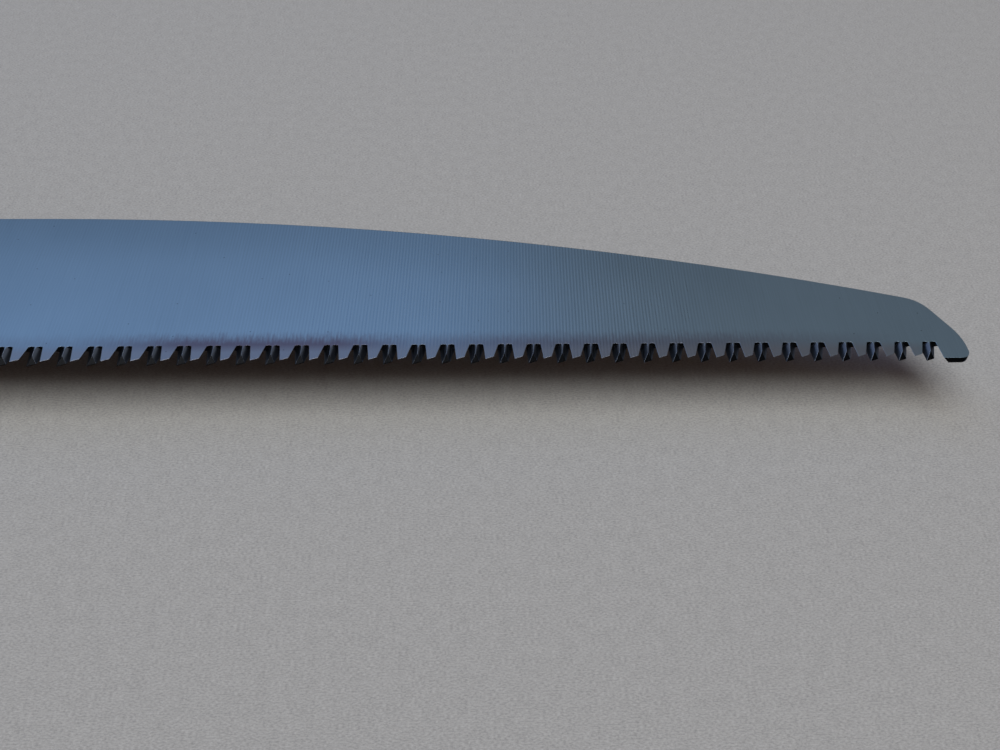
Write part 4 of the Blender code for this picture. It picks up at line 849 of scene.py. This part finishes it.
def makeInlay(side, sign, shape, face):
    # sections across the inlay, carried along it: y runs from the lower to the upper edge of the outline, and z
    # is the face less the deepest of a slanted groove, the fall of a crowned rib and a quarter round at the rim
    corners = shape["outline"]
    outline = roundCorners(corners[None, :, :2], corners[None, :, 2], steps=16)[0]
    rear, front = outline[:, 0].min(), outline[:, 0].max()
    upperEnd = 2 * (len(outline) // len(corners))  # the upper front corner comes first, then the upper rear one
    upper, lower = outline[:upperEnd], outline[upperEnd:]
    upper, lower = upper[np.argsort(upper[:, 0])], lower[np.argsort(lower[:, 0])]
    spread = (1 - np.cos(np.linspace(0, math.pi, shape["along"]))) / 2
    x = (rear + (front - rear) * spread)[:, None]
    low, high = np.interp(x, *lower.T), np.interp(x, *upper.T)
    y = low + (high - low) * (1 - np.cos(np.linspace(0, math.pi, shape["across"]))) / 2
    slant = math.radians(shape["leanDeg"])
    turns = (x - y * math.tan(slant) - rear) / shape["ribPitch"]
    off = np.abs(turns - np.round(turns)) * shape["ribPitch"] * math.cos(slant)
    depth = np.clip((shape["grooveHalf"] - off) / (shape["grooveHalf"] - shape["grooveFlat"]), 0, 1)
    slope = depth * depth * (3 - 2 * depth)
    fall = np.clip(1 - off / (shape["ribPitch"] / 2 * math.cos(slant)), 0, 1)  # 0 on a crest, 1 in a groove
    groove = np.maximum(shape["grooveDepth"] * slope, shape["crown"] * fall * fall)
    rim = np.minimum(np.minimum(y - low, high - y), np.minimum(x - rear, front - x))
    inside = np.clip(1 - rim / shape["edgeRound"], 0, 1)
    rounding = shape["edgeRound"] * (1 - np.sqrt(1 - inside * inside))
    z = face - np.maximum(groove, rounding)
    top = np.stack((np.broadcast_to(x, y.shape), y, z), axis=-1)
    floor = face + shape["sink"] - shape["pocketDepth"] + shape["lift"]
    skirt = top[:, [-1, 0]] * (1, 1, 0) + (0, 0, floor)
    inlay = newObject(f"grip_inlay_{side}", np.concatenate((top, skirt), axis=1) * (1, 1, sign))
    finishPiece(inlay, softRubber, f"grip_pad_{side}")


for side, sign in (("right", 1), ("left", -1)):
    makePlate(side, sign, handleShape)
    makeScale(side, sign, handleShape)
    makeInlay(side, sign, inlayShape, handleShape["scaleOut"] - inlayShape["sink"])
print("plates, scales and inlays made")


# thumb pad on the tail of the lock lever, and the end loop

thumbShape = {
    "outline": np.array([
        (-36.5, 22.85, 1), (-37.3, 26.75, 2.5), (-49.6, 26.75, 8), (-54.4, 28.75, 1.8), (-55.6, 22.85, 1)]),
    "half": 6.0, "edge": 1.1, "softEdge": 0.12,
    "slot": [(-33.6, 26.15, 0.1), (-54.2, 26.15, 0.1), (-54.2, 17, 0.1), (-33.6, 17, 0.1)],
    "slotHalf": 1.7, "grooves": (-39.9, -42.2, -44.5, -46.8), "grooveY": 26.75, "grooveRadius": 0.6,
}
loopShape = {
    "outline": np.array([
        (-206.8, 16.65, 1), (-217.5, 13.85, 8.5), (-221.78, 0, 8.5), (-217.5, -15.4, 8.5), (-206.8, -15.4, 1)]),
    "half": 8.2, "edge": 2.6, "jointEdge": 0.26, "softEdge": 0.12,
    "tongue": [(-197.5, 12.65, 2), (-210.8, 12.65, 0.1), (-210.8, -11.4, 0.1), (-197.5, -11.4, 2)],
    "tongueHalf": 1.5,
    "hole": np.array([(-210.2, 5.7, 3.95), (-218.2, 5.7, 3.95), (-218.2, -7.3, 3.95), (-210.2, -7.3, 3.95)]),
    "flare": 0.9,
}


def twinRings(rings):  # upper half of a body, and the same below the middle of the blade
    return np.vstack((rings[::-1] * (1, 1, -1), rings))


def makeThumbPad(shape):
    # the outline rolled over at both faces but not at its foot, less the lever's slot and round grooves
    share = np.array((1, 1, 1, 1, 0))
    rings = rolledRings(shape["outline"], share, shape["edge"], shape["edge"], shape["half"],
                        arcSteps=10, rollSteps=8)
    pad = newObject("thumb_button", twinRings(rings))
    grooves = [holeRings((x, shape["grooveY"]), shape["grooveRadius"], count=32) for x in shape["grooves"]]
    shapeBy(pad, "DIFFERENCE", prismRings(shape["slot"], -shape["slotHalf"], shape["slotHalf"]), *grooves)
    finishPiece(pad, padAcetal, "thumb_pad", body="lever", edgeMm=shape["softEdge"])


def makeLoop(shape):
    # the outline rolled over at both faces, less so where it meets the scales, joined to a flat tongue
    share = np.array((1, 1, 1, 1, shape["jointEdge"] / shape["edge"]))
    rings = rolledRings(shape["outline"], share, shape["edge"], shape["edge"], shape["half"],
                        arcSteps=12, rollSteps=10)
    loop = newObject("hanging_loop", twinRings(rings))
    half = shape["tongueHalf"]
    shapeBy(loop, "UNION", prismRings(shape["tongue"], -half, half))
    # the hole flares by a quarter round of flare at each face
    turn = np.linspace(0, math.pi / 2, 9)
    grown = np.append(-shape["flare"] * (1 - np.cos(turn)), -shape["flare"])
    edges = np.ones(len(shape["hole"]))
    outlines = roundCorners(*moveIn(shape["hole"], grown[:, None] * edges), steps=14)
    heights = np.append(shape["half"] - shape["flare"] * (1 - np.sin(turn)), shape["half"] + overFace)
    screwHole = holeRings(screws[-1], handleShape["screwHole"])
    shapeBy(loop, "DIFFERENCE", twinRings(flatRings(outlines, heights)), screwHole)
    finishPiece(loop, gripNylon, "end_loop", edgeMm=shape["softEdge"])


makeThumbPad(thumbShape)
makeLoop(loopShape)
print("thumb pad and loop made")


# turned and six-sided fasteners: steps of radius and height in mm from the blade's middle, then flats and
# chamfer limit where a step has them

fasteners = {
    "pivot_bolt": [
        (2.4, -7.3), (2.6, -7.3), (3, -6.9), (3, 4.3), (6.85, 4.3), (7, 4.45), (7, 6.45), (6.93, 6.78),
        (6.72, 7.03), (6.42, 7.2), (6.05, 7.29), (5.7, 7.3), (3.25, 7.3), (2.95, 7.1, 6), (2.9, 7, 6),
        (2.9, 5.4, 6), (2.2, 5.05)],
    "pivot_nut": [
        (3.1, -6.95), (3.35, -7.3), (4.85, -7.3), (5.8, -7.16, 6, 5.08), (5.8, -7.02, 6, 5.32),
        (5.8, -6.88, 6, 5.56), (5.8, -6.74, 6), (5.8, -3.1, 6), (3.1, -3.1)],
    "pivot_spring_washer": [
        (3.1, 3.5), (6.15, 3.1), (6.2, 3.15), (6.2, 3.65), (6.15, 3.7), (3.2, 4.09), (3.1, 4.05)],
    "stop_pin": [  # one half, from the blade's middle out
        (1.6, 1.5), (1.2, 1.5), (1.2, 3.1), (2.45, 3.1), (2.5, 3.15), (2.5, 3.28), (2.4, 3.5), (2.18, 3.68),
        (1.85, 3.8), (1.4, 3.87), (0.8, 3.9)],
    "handle_screw": [
        (1.3, -10.3), (1.75, -9.9), (1.75, 7.95), (3.42, 9.62), (3.5, 9.75), (3.5, 9.98), (3.4, 10.12),
        (3.2, 10.2), (1.5, 10.2), (1.33, 10.08, 6), (1.3, 10, 6), (1.3, 8.85, 6), (0.9, 8.65)],
    "handle_nut": [
        (1.85, -10.1), (2, -10.3), (2.85, -10.3), (3.4, -10.2, 6, 3.02), (3.4, -10.1, 6, 3.19),
        (3.4, -10, 6, 3.33), (3.4, -9.92, 6), (3.4, -7.5, 6), (1.85, -7.5)],
}


def makeFastener(node, profile, hollow=False, count=96):  # profile turned about the node's middle
    piece = newObject(f"turned_{node}", turnedRings(nodeCentre(node), profile, count), hollow)
    finishPiece(piece, zincSteel, node)


stopPin = [(radius, -height) for radius, height in fasteners["stop_pin"][::-1]] + fasteners["stop_pin"]
makeFastener("pivot_bolt", fasteners["pivot_bolt"])
makeFastener("pivot_nut", fasteners["pivot_nut"], hollow=True)
makeFastener("pivot_spring_washer", fasteners["pivot_spring_washer"], hollow=True)
makeFastener("open_stop_pin", stopPin, count=48)
makeFastener("closed_stop_pin", stopPin, count=48)
for name in ("front", "middle", "rear"):
    makeFastener(f"handle_screw_{name}", fasteners["handle_screw"])
    makeFastener(f"handle_nut_{name}", fasteners["handle_nut"], hollow=True)
print("fasteners made")
